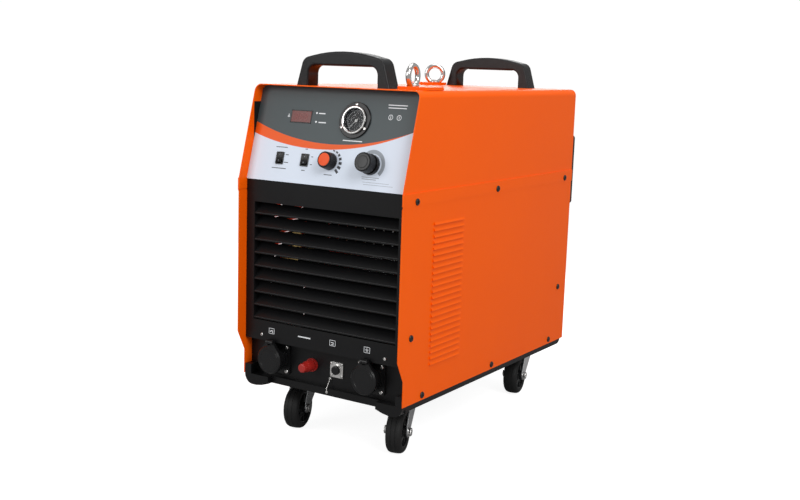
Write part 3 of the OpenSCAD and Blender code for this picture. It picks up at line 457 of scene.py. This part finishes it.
def film_print():
    """Print of the control film: slate above, an orange band that tapers, bluish white below."""
    mat = bpy.data.materials.new("control film print")
    mat.use_nodes = True
    tree = mat.node_tree
    skin = tree.nodes["Principled BSDF"]
    skin.inputs["Specular IOR Level"].default_value = 0.25
    at = node_of(tree, "ShaderNodeTexCoord")
    split = node_of(tree, "ShaderNodeSeparateXYZ")
    tree.links.new(at.outputs["Object"], split.inputs[0])
    up = node_of(tree, "ShaderNodeVectorMath", operation="DOT_PRODUCT")
    tree.links.new(at.outputs["Object"], up.inputs[0])
    up.inputs[1].default_value = UP_SLOPE
    rise = maths(tree, "SUBTRACT", up.outputs["Value"], CREASE.dot(UP_SLOPE))

    def inside(cx, cy, radius):
        dx = maths(tree, "SUBTRACT", split.outputs["X"], cx)
        dy = maths(tree, "SUBTRACT", rise, cy)
        far = maths(tree, "SQRT", maths(tree, "ADD", maths(tree, "MULTIPLY", dx, dx),
                                        maths(tree, "MULTIPLY", dy, dy)))
        return maths(tree, "MULTIPLY", maths(tree, "SUBTRACT", radius, far), 5000.0, clamp=True)

    grain = use(tree, GRAIN, Scale=2400.0, Depth=0.06, Gloss=0.36, Spread=0.06)
    slate = mix_colour(tree, grain.outputs["Shade"], (0.056, 0.07, 0.074), (0.068, 0.084, 0.088))
    white = mix_colour(tree, grain.outputs["Shade"], (0.66, 0.72, 0.82), (0.7, 0.77, 0.88))
    band = mix_colour(tree, inside(-0.030, 0.5073, 0.450), white, (0.8, 0.1, 0.006))
    colour = mix_colour(tree, inside(-0.004, 0.5082, 0.441), band, slate)
    tree.links.new(colour, skin.inputs["Base Color"])
    tree.links.new(grain.outputs["Roughness"], skin.inputs["Roughness"])
    tree.links.new(grain.outputs["Normal"], skin.inputs["Normal"])
    return mat


def paint_inner_shade(mat):
    """Paints the cabinet's inner faces near-black as painted shade, so that little shows through the slats."""
    tree = mat.node_tree
    skin = tree.nodes["Principled BSDF"]
    paint = skin.inputs["Base Color"].links[0].from_socket
    at = node_of(tree, "ShaderNodeTexCoord")
    split = node_of(tree, "ShaderNodeSeparateXYZ")
    tree.links.new(at.outputs["Object"], split.inputs[0])
    across = maths(tree, "LESS_THAN", maths(tree, "ABSOLUTE", split.outputs["X"]), INNER_X)
    ahead = maths(tree, "GREATER_THAN", split.outputs["Y"], FRONT_HI.y)
    behind = maths(tree, "LESS_THAN", split.outputs["Y"], REAR_LO.y + SHEET / 5)
    below = maths(tree, "LESS_THAN", split.outputs["Z"], CABINET_HI.z - ROOF_BEND)
    inside = across
    for side in (below, ahead, behind):
        inside = maths(tree, "MULTIPLY", inside, side)
    # painted shade: the inner faces get a near-black colour in place of the orange paint
    tree.links.new(mix_colour(tree, inside, paint, (0.01, 0.01, 0.01)), skin.inputs["Base Color"])


FINISH["control_film"] = film_print()
# the orange paint gets painted shade on the cabinet's inner faces
paint_inner_shade(FINISH["orange_paint"])
pane = FINISH["lens"].node_tree.nodes["Principled BSDF"]
pane.inputs["Alpha"].default_value = 0.1


# ---- camera, light and floor ----

def add_camera():
    yaw, pitch, roll = math.radians(33.13), math.radians(9.59), math.radians(1.74)
    look = Vector((-math.sin(yaw) * math.cos(pitch), math.cos(yaw) * math.cos(pitch), -math.sin(pitch)))
    right = Vector((math.cos(yaw), math.sin(yaw), 0))
    up = right.cross(look)
    side = math.cos(roll) * right + math.sin(roll) * up
    top = -math.sin(roll) * right + math.cos(roll) * up
    data = bpy.data.cameras.new("camera")
    data.lens = 49.66
    data.sensor_width = 36
    data.shift_x = 0.0157
    data.clip_start = 0.01
    cam = bpy.data.objects.new("camera", data)
    cam.matrix_world = basis(side, top, -look, (1.06181, -1.74291, 0.64433))
    bpy.context.scene.collection.objects.link(cam)
    bpy.context.scene.camera = cam


def area_light(name, at, aim, size, power, colour=(1, 1, 1), wide=None):
    data = bpy.data.lights.new(name, "AREA")
    data.shape = "RECTANGLE"
    data.size = size
    data.size_y = wide or size
    data.energy = power
    data.color = colour
    lamp = bpy.data.objects.new(name, data)
    lamp.location = at
    lamp.rotation_euler = (Vector(aim) - Vector(at)).to_track_quat("-Z", "Y").to_euler()
    bpy.context.scene.collection.objects.link(lamp)
    return lamp


def add_studio():
    scene = bpy.context.scene
    world = bpy.data.worlds.new("studio")
    world.use_nodes = True
    sky = world.node_tree.nodes["Background"]
    sky.inputs["Color"].default_value = (1, 1, 1, 1)
    world.node_tree.links.new(seen_strength(world.node_tree, 0.42, 1.02), sky.inputs["Strength"])
    scene.world = world
    scene.view_settings.view_transform = "Standard"
    area_light("key", (2.6, -1.6, 2.2), (0.1, 0, 0.35), 1.6, 62, wide=1.6)
    area_light("front", (-1.4, -3.0, 1.5), (0, -0.2, 0.35), 1.8, 32, wide=1.4)
    area_light("top", (0.2, 0.2, 3.0), (0, 0, 0.5), 2.2, 34)
    area_light("back", (-2.4, 3.6, 1.3), (0, 0, 0.6), 2.6, 26, wide=1.2)
    bm = bmesh.new()
    bmesh.ops.create_grid(bm, x_segments=1, y_segments=1, size=1.5)
    floor = mesh_object("floor", bm)
    floor.data.materials.append(floor_paint())


# ---- cabinet ----

def build_side_panel(node):
    """Side panel with its outline softened; the small pressed louvres keep their flat faces."""
    bm = cad_mesh(node)
    louvres = CABINET_LO.y + 92 * MM, CABINET_LO.y + 194 * MM
    round_edges(bm, 0.5, keep=lambda e: not all(louvres[0] < v.co.y < louvres[1] for v in e.verts))
    piece(node + "_skin", bm, node, angle=20)


def build_cabinet():
    soften("top_cover", 0.5)
    for side in ("left", "right"):
        build_side_panel("side_panel_" + side)
    soften("base_tray", 0.6)
    soften("rear_panel", 0.4)
    soften("louvre_panel", 0.7)
    soften("louvre_blades", 0.7, segments=3)
    soften("connector_panel", 0.6)
    soften("front_bumper", 1.2, segments=3)
    soften("lifting_plates", 0.8)
    soften("fan_cowl", 1.2, segments=3)
    soften("fan_frames", 0.6)
    soften("inner_frame", 0.4)


def build_case_screws():
    """Side screws in three rows, set out from the edges of the cover."""
    front, rear = CABINET_LO.y, CABINET_HI.y
    skin = CABINET_HI.x
    rows = [((front + 39 * MM, -22 * MM, rear - 35 * MM), 433.3 * MM, skin + 1.5 * MM),
            ((front + 36 * MM, rear - 36 * MM), 215 * MM, skin),
            ((front + 76 * MM, -13.5 * MM, rear - 67 * MM), 112.6 * MM, skin)]
    places = [on_side((s * x, y, z), s) for ys, z, x in rows for y in ys for s in (1, -1)]
    screw_set("case_screw_set", "case_screws", places, 5.5, 2.4, 2.5, 6)


# ---- handles and lifting eyes ----

def build_handles():
    lo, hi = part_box("handles")
    bm = cad_mesh("handles")
    round_edges(bm, 3.2, segments=5, keep=lambda e: max(v.co.z for v in e.verts) > lo.z + 0.5 * MM)
    piece("handle_grips", bm, "handles", angle=40)
    ribs = bmesh.new()
    for y in (lo.y + 15.5 * MM, hi.y - 15.5 * MM):
        for i in range(-7, 8):
            join(ribs, box_bm(2.4, 19, 1.2, bevel=0.5, segments=3),
                 Matrix.Translation((i * 6.2 * MM, y, hi.z - 23.8 * MM)))
    piece("finger_ribs", ribs, "handles", stands_for=False)


def build_eyes():
    lo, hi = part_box("lifting_plates")
    eyes = [("front", (hi.x - 43 * MM, lo.y + 28.5 * MM, hi.z), 95),
            ("rear", (lo.x + 43 * MM, hi.y - 28.5 * MM, hi.z), 31)]
    bar, inner = 9.0, 24.0
    for label, at, spin in eyes:
        bm = bmesh.new()
        base = Matrix.Translation(at) @ turn(spin)
        ring = bmesh.ops.create_circle(bm, cap_ends=False, segments=28, radius=bar / 2 * MM)["verts"]
        bmesh.ops.rotate(bm, verts=ring, cent=(0, 0, 0), matrix=Matrix.Rotation(math.pi / 2, 3, "X"))
        bmesh.ops.translate(bm, verts=ring, vec=((inner + bar) / 2 * MM, 0, 0))
        bmesh.ops.spin(bm, geom=ring + list({e for v in ring for e in v.link_edges}), cent=(0, 0, 0),
                       axis=(0, 0, 1), dvec=(0, 0, 0), angle=2 * math.pi, steps=72, use_merge=True,
                       use_duplicate=False)
        bmesh.ops.remove_doubles(bm, verts=bm.verts, dist=1e-6)
        bmesh.ops.recalc_face_normals(bm, faces=bm.faces)
        placed(bm, base @ shift(0, 0, 16.5) @ Matrix.Rotation(math.pi / 2, 4, "X"))
        cut = bmesh.ops.bisect_plane(bm, geom=bm.verts[:] + bm.edges[:] + bm.faces[:], plane_no=-Z,
                                     plane_co=Vector(at) + 0.02 * MM * Z, clear_outer=True)["geom_cut"]
        bmesh.ops.contextual_create(bm, geom=[e for e in cut if isinstance(e, bmesh.types.BMEdge)])
        join(bm, turned([(0, 0), (10.5, 0), (10.5, 2.6), (9.6, 3.4), (7.4, 4.3), (6.0, 5.6), (0, 5.6)],
                        bevel=0.3), base)
        join(bm, turned([(0, -18), (3.2, -18), (4, -17), (4, 0.2), (0, 0.2)], steps=32), base)
        nut = bmesh.new()
        bmesh.ops.create_cone(nut, cap_ends=True, segments=6, radius1=8 * MM, radius2=8 * MM, depth=6.4 * MM)
        round_edges(nut, 0.6)
        join(bm, nut, base @ shift(0, 0, -9.8))
        piece("eye_bolt_" + label, bm, "eye_bolts", angle=50)


# ---- control panel ----

def ribbed_barrel(r0, r1, z0, z1, ribs, depth, crown=1.2):
    """Moulded barrel with raised ribs round its side and a crowned end."""
    bm = bmesh.new()
    bmesh.ops.create_cone(bm, cap_ends=True, segments=ribs * 2, radius1=r0 * MM, radius2=r1 * MM,
                          depth=(z1 - z0) * MM)
    bmesh.ops.translate(bm, vec=(0, 0, (z0 + z1) / 2 * MM), verts=bm.verts)
    top = [f for f in bm.faces if f.normal.z > 0.9]
    bmesh.ops.inset_region(bm, faces=top, thickness=crown * MM, depth=0)
    bmesh.ops.translate(bm, vec=(0, 0, 0.6 * crown * MM), verts=list({v for f in top for v in f.verts}))
    bmesh.ops.inset_region(bm, faces=top, thickness=crown * MM, depth=0)
    bmesh.ops.translate(bm, vec=(0, 0, 0.15 * crown * MM), verts=list({v for f in top for v in f.verts}))
    sides = [f for f in bm.faces if abs(f.normal.z) < 0.3]
    sides.sort(key=lambda f: math.atan2(f.calc_center_median().y, f.calc_center_median().x))
    bmesh.ops.inset_individual(bm, faces=sides[::2], thickness=0.12 * MM, depth=depth * MM)
    return bm


def build_current_knob():
    at = Vector(JOINT["current_turn"]["pos_m"])
    here = on_slope(at, 0.8 - 10)
    piece("current_knob_grip", placed(ribbed_barrel(14.0, 13.2, 0, 16.2, 26, 0.3, crown=1.2), here),
          "current_knob", angle=30)
    cap = turned([(0, 15.6), (10.6, 15.6), (10.6, 17.6), (10.0, 18.2), (0, 18.5)], bevel=0.2)
    join(cap, box_bm(8.6, 1.6, 0.8, at=(5.4, 0, 18.1), bevel=0.35), turn(215))
    piece("current_knob_face", placed(cap, here), "current_knob_cap", angle=40)


def build_regulator():
    at = Vector(JOINT["regulator_turn"]["pos_m"])
    here = on_slope(at, 8 - 15)
    bm = ribbed_barrel(15.5, 15.2, 3.2, 17.6, 34, 0.3, crown=1.2)
    join(bm, turned([(5.2, 0), (12.4, 0), (12.4, 2.2), (14.2, 3.4), (5.2, 3.4), (5.2, 0)], bevel=0.3))
    join(bm, turned([(0, 18), (10.2, 18), (10.2, 18.9), (9.4, 19.3), (0, 19.3)], bevel=0.2))
    piece("regulator_knob_grip", placed(bm, here), "regulator_knob", angle=30)
    soften("regulator_body", 0.6)
    collar = turned(ring_profile(10.4, 16.7, 0.42, 7.6), bevel=0.6, segments=3)
    piece("regulator_collar", placed(collar, on_slope(at, -15)), "regulator_body", "gloss_black",
          stands_for=False)


def text_mesh(words, size, matrix, target):
    """Numbers, made a mesh and added to another one at a place."""
    curve = bpy.data.curves.new("numeral", "FONT")
    curve.body = words
    curve.size = size * MM
    curve.align_x = "CENTER"
    curve.align_y = "CENTER"
    curve.extrude = 0.03 * MM
    curve.resolution_u = 3
    ob = bpy.data.objects.new("numeral", curve)
    bpy.context.scene.collection.objects.link(ob)
    bpy.context.view_layer.update()
    mesh = bpy.data.meshes.new_from_object(ob.evaluated_get(bpy.context.evaluated_depsgraph_get()))
    bpy.data.objects.remove(ob)
    bpy.data.curves.remove(curve)
    mesh.transform(matrix)
    target.from_mesh(mesh)
    bpy.data.meshes.remove(mesh)


def build_gauge():
    here = on_slope(middle("gauge_dial"), 3.6)
    case = turned([(0, -28), (22, -28), (22, 0.45), (30, 0.45), (30, 2.6), (29.2, 3.4), (21, 3.4),
                   (21, -4), (0, -4)], steps=96, bevel=0.25)
    join(case, turned([(0, -44), (6, -44), (6, -27.5), (0, -27.5)], steps=32, bevel=0.3))
    piece("gauge_housing", placed(case, here), "gauge_case", angle=35)
    bezel = turned([(19.3, 3.4), (23, 3.4), (23, 6.6), (21.6, 7.4), (20.2, 7.2), (19.3, 6.4), (19.3, 3.4)],
                   steps=96, bevel=0.2)
    piece("gauge_bezel", placed(bezel, here), "gauge_case", "bright_steel", stands_for=False)
    marks = bmesh.new()
    for i in range(51):
        long = 3.6 if i % 10 == 0 else 2.8 if i % 5 == 0 else 1.8
        wide = 0.55 if i % 10 == 0 else 0.3
        join(marks, box_bm(long, wide, 0.06, at=(17.6 - long / 2, 0, -3.2)), turn(225 - 270 * i / 50))
    for i in range(6):
        a = math.radians(225 - 54 * i)
        text_mesh(str(2 * i), 3.4, shift(11.4 * math.cos(a), 11.4 * math.sin(a), -3.15), marks)
    join(marks, turned(ring_profile(17.5, 17.9, -3.2, -3.14), steps=64))
    piece("gauge_scale", placed(marks, here), "gauge_dial", "white_print", stands_for=False)
    needle = box_bm(20, 1.1, 0.5, at=(5, 0, -1.6))
    tip = [v for v in needle.verts if v.co.x > 10 * MM]
    bmesh.ops.scale(needle, vec=(1, 0.25, 1), verts=tip)
    join(needle, turned([(0.8, -3.1), (2.2, -3.1), (2.2, -0.6), (1.6, -0.2), (0, -0.2)], steps=32))
    piece("gauge_pointer", placed(needle, here @ turn(225)), "gauge_needle")


def seven_segments(bm, x, h=10.5):
    """The seven unlit bars of one digit, lying on Z = 0."""
    w, t = h * 0.52, h * 0.12
    bars = [(0, h / 2, 1), (0, 0, 1), (0, -h / 2, 1), (-w / 2, h / 4, 0),
            (w / 2, h / 4, 0), (-w / 2, -h / 4, 0), (w / 2, -h / 4, 0)]
    for bx, by, flat in bars:
        size = (w - t * 1.3, t) if flat else (t, h / 2 - t * 1.3)
        join(bm, box_bm(size[0], size[1], 0.04), shift(x + bx + by * 0.12, by, 0))


def build_display():
    here = on_slope(middle("display_window"), 1.5)
    frame_ring = bmesh.new()
    for sx, sy, w, h in ((0, 1, 44, 1.6), (0, -1, 44, 1.6), (1, 0, 1.6, 22), (-1, 0, 1.6, 22)):
        join(frame_ring, box_bm(w, h, 0.7, bevel=0.25), shift(sx * 20.9, sy * 10.2, -0.9))
    piece("display_frame", placed(frame_ring, here), "display_window", "gloss_black", stands_for=False)
    bars = bmesh.new()
    for x in (-9.5, 0, 9.5):
        seven_segments(bars, x)
    piece("display_bars", placed(bars, here), "display_window", "dim_segments", stands_for=False)


def build_rockers():
    for side in ("left", "right"):
        node = "rocker_" + side
        soften(node, 0.4)
        at = Vector(JOINT[node]["pos_m"])
        marks = bmesh.new()
        join(marks, box_bm(0.5, 2.6, 0.06), shift(0, 5.2, 4.28))
        join(marks, turned(ring_profile(0.9, 1.25, 4.27, 4.33), steps=24), shift(0, -5.2, 0))
        tilt = Matrix.Rotation(math.radians(-9), 4, "X")
        piece(node + "_marks", placed(marks, on_slope(at) @ tilt), node, "grey_print", stands_for=False)
    soften("switch_housings", 0.5, segments=3)


def arc_band(r0, r1, a0, a1, taper=1.0, steps=40):
    """Flat printed band between two radii, from one angle to another."""
    bm = bmesh.new()
    ends = [bm.verts.new((r * math.cos(math.radians(a0)) * MM, r * math.sin(math.radians(a0)) * MM, 0))
            for r in (r0, r1)]
    edge = bm.edges.new(ends)
    bmesh.ops.spin(bm, geom=ends + [edge], cent=(0, 0, 0), axis=(0, 0, 1), dvec=(0, 0, 0),
                   angle=math.radians(a1 - a0), steps=steps, use_merge=False, use_duplicate=False)
    bmesh.ops.recalc_face_normals(bm, faces=bm.faces)
    if bm.faces and next(iter(bm.faces)).normal.z < 0:
        bmesh.ops.reverse_faces(bm, faces=bm.faces)
    bmesh.ops.translate(bm, vec=(0, 0, 0.05 * MM), verts=bm.verts)
    return bm


def build_print():
    """Marks printed on the film: light ones on the slate, dark ones on the pale part."""
    light, dark, grey = bmesh.new(), bmesh.new(), bmesh.new()

    def bar(bm, x, s, w, h, lean=0):
        join(bm, box_bm(w, h, 0.05), on_film(x, s) @ turn(lean))

    for s, w in ((137.3, 36), (132.8, 34)):
        bar(light, 115, s, w, 1.5)
    bar(light, -29.3, 117, 13, 1.8)
    bar(light, -26.1, 102, 15, 1.8)
    bar(light, 40, 75.4, 38, 1.6)
    join(light, turned([(0, 0), (1.7, 0), (1.7, 0.05), (0, 0.05)], steps=24), on_film(-40.3, 117.4))
    join(light, turned([(0, 0), (1.7, 0), (1.7, 0.05), (0, 0.05)], steps=24), on_film(-39, 102.6))
    bar(light, -97.2, 110.7, 1.4, 5.4)
    bar(light, -97.2, 109.2, 4.6, 1.4)
    for x in (105, 120.8):
        join(light, turned(ring_profile(3.4, 4.3, 0, 0.05), steps=32), on_film(x, 117.6))
        bar(light, x, 117.6, 1.0, 4.4)
    for x, s, w in ((-99.8, 56.2, 24), (-47.9, 56.2, 5), (-86, 44, 6), (-86, 31, 9), (-99, 20.4, 30),
                    (-47.9, 20.4, 7), (-34, 44, 4), (-34, 31, 4), (3.3, 17, 16)):
        bar(dark, x, s, w, 1.3)
    for x, s, w, h in ((86, 19.2, 33, 1.2), (84, 16.2, 27, 1.2), (98, 11.2, 50, 0.6), (103, 7.6, 56, 0.6)):
        bar(grey, x, s, w, h)
    knob = Vector(JOINT["current_turn"]["pos_m"])
    for i in range(7):
        long = 2.2 + 0.95 * i
        join(dark, box_bm(long, 4.4, 0.05, at=(17.6 + long / 2, 0, 0)),
             on_slope(knob, 0.4 - 10) @ turn(76 - 20 * i))
    reg = on_slope(Vector(JOINT["regulator_turn"]["pos_m"]) + 1.6 * MM * X, 0.4 - 15)
    join(grey, arc_band(18.0, 24.4, 128, -44), reg)
    for name, bm, look in (("print_light", light, "white_print"), ("print_dark", dark, "dark_print"),
                           ("print_grey", grey, "grey_print")):
        piece(name, bm, "control_film", look, stands_for=False)


# ---- connector bay ----

LID_UP = 30.5 * MM


def build_connectors():
    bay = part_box("connector_panel")[0].y + 18 * MM
    soften("output_sockets", 0.8, segments=3)
    for which in ("torch", "earth"):
        soften(which + "_lid", 0.7, segments=3)
        at = Vector(JOINT[which + "_lid_swing"]["pos_m"]) - LID_UP * Z
        rim = turned([(20.4, 27.9), (19.9, 28.45), (17.7, 28.45), (17.2, 27.9), (20.4, 27.9)], steps=72)
        piece(which + "_lid_rim", placed(rim, on_front((at.x, bay, at.z))), which + "_lid",
              stands_for=False)
    post = Vector(JOINT["pilot_turn"]["pos_m"])
    here = on_front((post.x, bay, post.z))
    soften("pilot_post", 0.3)
    knob = turned([(3.1, 5), (9, 5), (9.2, 6.2), (8.7, 19), (8.2, 19.8), (7.9, 28.6), (7, 30.4), (5.2, 31),
                   (0, 31)], bevel=0.25, steps=48)
    for i in range(14):
        join(knob, box_bm(1.7, 1.5, 12.4, at=(8.6, 0, 5.8), bevel=0.4), turn(360 / 14 * i))
    piece("pilot_clamp_knob", placed(knob, here), "pilot_knob", angle=35)
    soften("control_socket", 0.4)
    small = Vector(JOINT["small_cap_turn"]["pos_m"])
    here = on_front((small.x, bay, small.z), 4.8)
    cap = ribbed_barrel(7.6, 7.2, 0, 2.6, 12, 0.3, crown=0.6)
    join(cap, turned([(0, -12), (6, -12), (6, 0.2), (0, 0.2)], steps=32))
    piece("control_dust_cap", placed(cap, here), "control_cap", angle=30)
    corners = [(sx, sz) for sx in (-1, 1) for sz in (-1, 1)]
    places = [on_front((p.x + sx * 21.3 * MM, bay, p.z - LID_UP + sz * 21.3 * MM), 4)
              for p in (Vector(JOINT[w + "_lid_swing"]["pos_m"]) for w in ("torch", "earth"))
              for sx, sz in corners]
    screw_set("socket_screw_set", "panel_screws", places, 3.7, 2.2, 2.0, 10)
    places = [on_front((small.x + sx * 10.2 * MM, bay, small.z + sz * 10.2 * MM), 2.4) for sx, sz in corners]
    screw_set("control_socket_screw_set", "panel_screws", places, 2.5, 1.3, 1.5, 8)
    gauge = on_slope(middle("gauge_dial"), 3.6)
    places = [gauge @ turn(90 + 120 * i) @ shift(26, 0, 3.4) for i in range(3)]
    screw_set("gauge_screw_set", "panel_screws", places, 2.7, 1.6, 1.25, 8)
    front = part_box("louvre_panel")[0]
    places = [on_front((s * 127 * MM, front.y, 178 * MM)) for s in (-1, 1)]
    screw_set("front_screw_set", "panel_screws", places, 2.8, 1.4, 1.6, 8)
    build_icons(front.y)


def build_icons(face):
    """Plain pictograms over the connectors: a torch, a clamp and a plug in frames of four strokes."""
    bm = bmesh.new()

    def stroke(x, z, w, h, lean=0):
        join(bm, box_bm(w, h, 0.06), on_front((x * MM, face, z * MM)) @ turn(lean))

    for x in (-105.5, 23.4, 92.2):
        for dx, dz, w, h in ((0, 4.6, 11, 0.8), (0, -4.6, 11, 0.8), (5.6, 0, 0.8, 8.6), (-5.6, 0, 0.8, 8.6)):
            stroke(x + dx, 187 + dz, w, h)
    stroke(-106.5, 187, 6, 1.8, 25)
    stroke(-103.2, 185.8, 1.6, 4)
    stroke(22.2, 187.8, 4.4, 1.2)
    stroke(24.8, 186, 1.2, 4.4)
    stroke(23.4, 184.6, 5, 1)
    for i, w in enumerate((6.4, 4.2, 2)):
        stroke(92.2, 187.6 - 1.6 * i, w, 0.8)
    stroke(92.2, 189.2, 0.8, 2.4)
    stroke(-35.6, 187, 26, 2.2)
    piece("socket_pictograms", bm, "louvre_panel", "white_print", stands_for=False)


# ---- casters ----

def build_casters():
    soften("caster_plates", 0.5)
    for k in ("fl", "fr", "rl", "rr"):
        joint = JOINT["wheel_spin_" + k]
        axis = Vector(joint["axis"]).normalized()
        here = basis(Z, axis.cross(Z), axis, joint["pos_m"])
        half = [(37.5, 0.4), (37.5, 3.0), (36.8, 3.5), (36.8, 4.3), (37.4, 4.8), (37.0, 8.2), (35.6, 11.4),
                (33.2, 13.3), (30.2, 14.0), (28.2, 13.4), (27.6, 12.4), (26.4, 12.2)]
        loop = [(r, -z) for r, z in reversed(half)] + half
        tyre = turned(loop + [loop[0]], steps=72)
        piece("tyre_" + k, placed(tyre, here), "wheel_" + k)
        half = [(4.1, 15.4), (8.6, 15.4), (9, 15), (9.4, 11.6), (11.4, 10.2), (22.6, 8.4), (24.4, 9.2),
                (25.2, 12.0), (26.2, 12.6), (26.8, 12.2), (26.8, 0)]
        loop = half + [(r, -z) for r, z in reversed(half)][1:]
        hub = turned(loop + [loop[0]], steps=72)
        for i in range(6):
            for s in (-1, 1):
                join(hub, box_bm(15, 2.2, 3.4, at=(17, 0, 7.6), bevel=0.5),
                     (Matrix.Rotation(math.pi, 4, "X") if s < 0 else Matrix.Identity(4)) @ turn(60 * i))
        piece("hub_" + k, placed(hub, here), "wheel_" + k, "gloss_black", stands_for=False)
        soften("fork_" + k, 0.7, segments=2)
        nuts = bmesh.new()
        for s in (-1, 1):
            nut = bmesh.new()
            bmesh.ops.create_cone(nut, cap_ends=True, segments=6, radius1=7.4 * MM, radius2=7.4 * MM,
                                  depth=5 * MM)
            round_edges(nut, 0.7, segments=3)
            join(nuts, nut, shift(0, 0, s * 21.1))
            join(nuts, turned(ring_profile(3.9, 8.6, -0.6, 0.6), steps=40, bevel=0.2), shift(0, 0, s * 18.7))
        piece("axle_nuts_" + k, placed(nuts, here), "fork_" + k, "bright_steel", stands_for=False)


# ---- rear ----

def fan_blade():
    """One twisted blade, wider at its tip, from the hub outwards along X."""
    bm = bmesh.new()
    bmesh.ops.create_grid(bm, x_segments=8, y_segments=6, size=0.5)
    for v in bm.verts:
        v.co.x = (20.4 + 32.8 * (v.co.x + 0.5)) * MM
    rows = sorted({round(v.co.x, 7) for v in bm.verts})
    for i, x in enumerate(rows):
        t = i / (len(rows) - 1)
        row = [v for v in bm.verts if abs(v.co.x - x) < 1e-6]
        for v in row:
            v.co.y = v.co.y * (26 + 16 * t) * MM
            v.co.z = -math.cos(v.co.y / (42 * MM) * math.pi) * 2.6 * MM
        pitch = Matrix.Rotation(math.radians(42 - 16 * t), 3, "X")
        bmesh.ops.rotate(bm, verts=row, cent=(x, 0, 0), matrix=pitch)
    bmesh.ops.solidify(bm, geom=bm.faces[:], thickness=1.4 * MM)
    return bm


def build_rear():
    for side in ("left", "right"):
        node = "fan_rotor_" + side
        at = Vector(JOINT["fan_spin_" + side]["pos_m"])
        here = on_rear(at)
        bm = turned([(0, 13.6), (16, 13.6), (19.6, 12.6), (21, 10.6), (21, -13.6), (20, -14.4), (0, -14.4)],
                    bevel=0.3)
        for i in range(7):
            join(bm, fan_blade(), turn(360 / 7 * i))
        join(bm, turned(ring_profile(12.4, 13.2, 13.5, 13.9), steps=48))
        piece(node + "_blades", placed(bm, here), node, angle=40)
    soften("breaker", 0.8, segments=3)
    soften("breaker_lever", 0.8, segments=3)
    soften("cable_gland", 0.6)
    soften("air_inlet", 0.3)


# ---- build ----

for node, ob in NODES.items():
    ob.data.materials.clear()
    ob.data.materials.append(FINISH[SLOT[node]])

add_camera()
add_studio()
build_cabinet()
build_case_screws()
build_handles()
build_eyes()
build_current_knob()
build_regulator()
build_gauge()
build_display()
build_rockers()
build_print()
build_connectors()
build_casters()
build_rear()
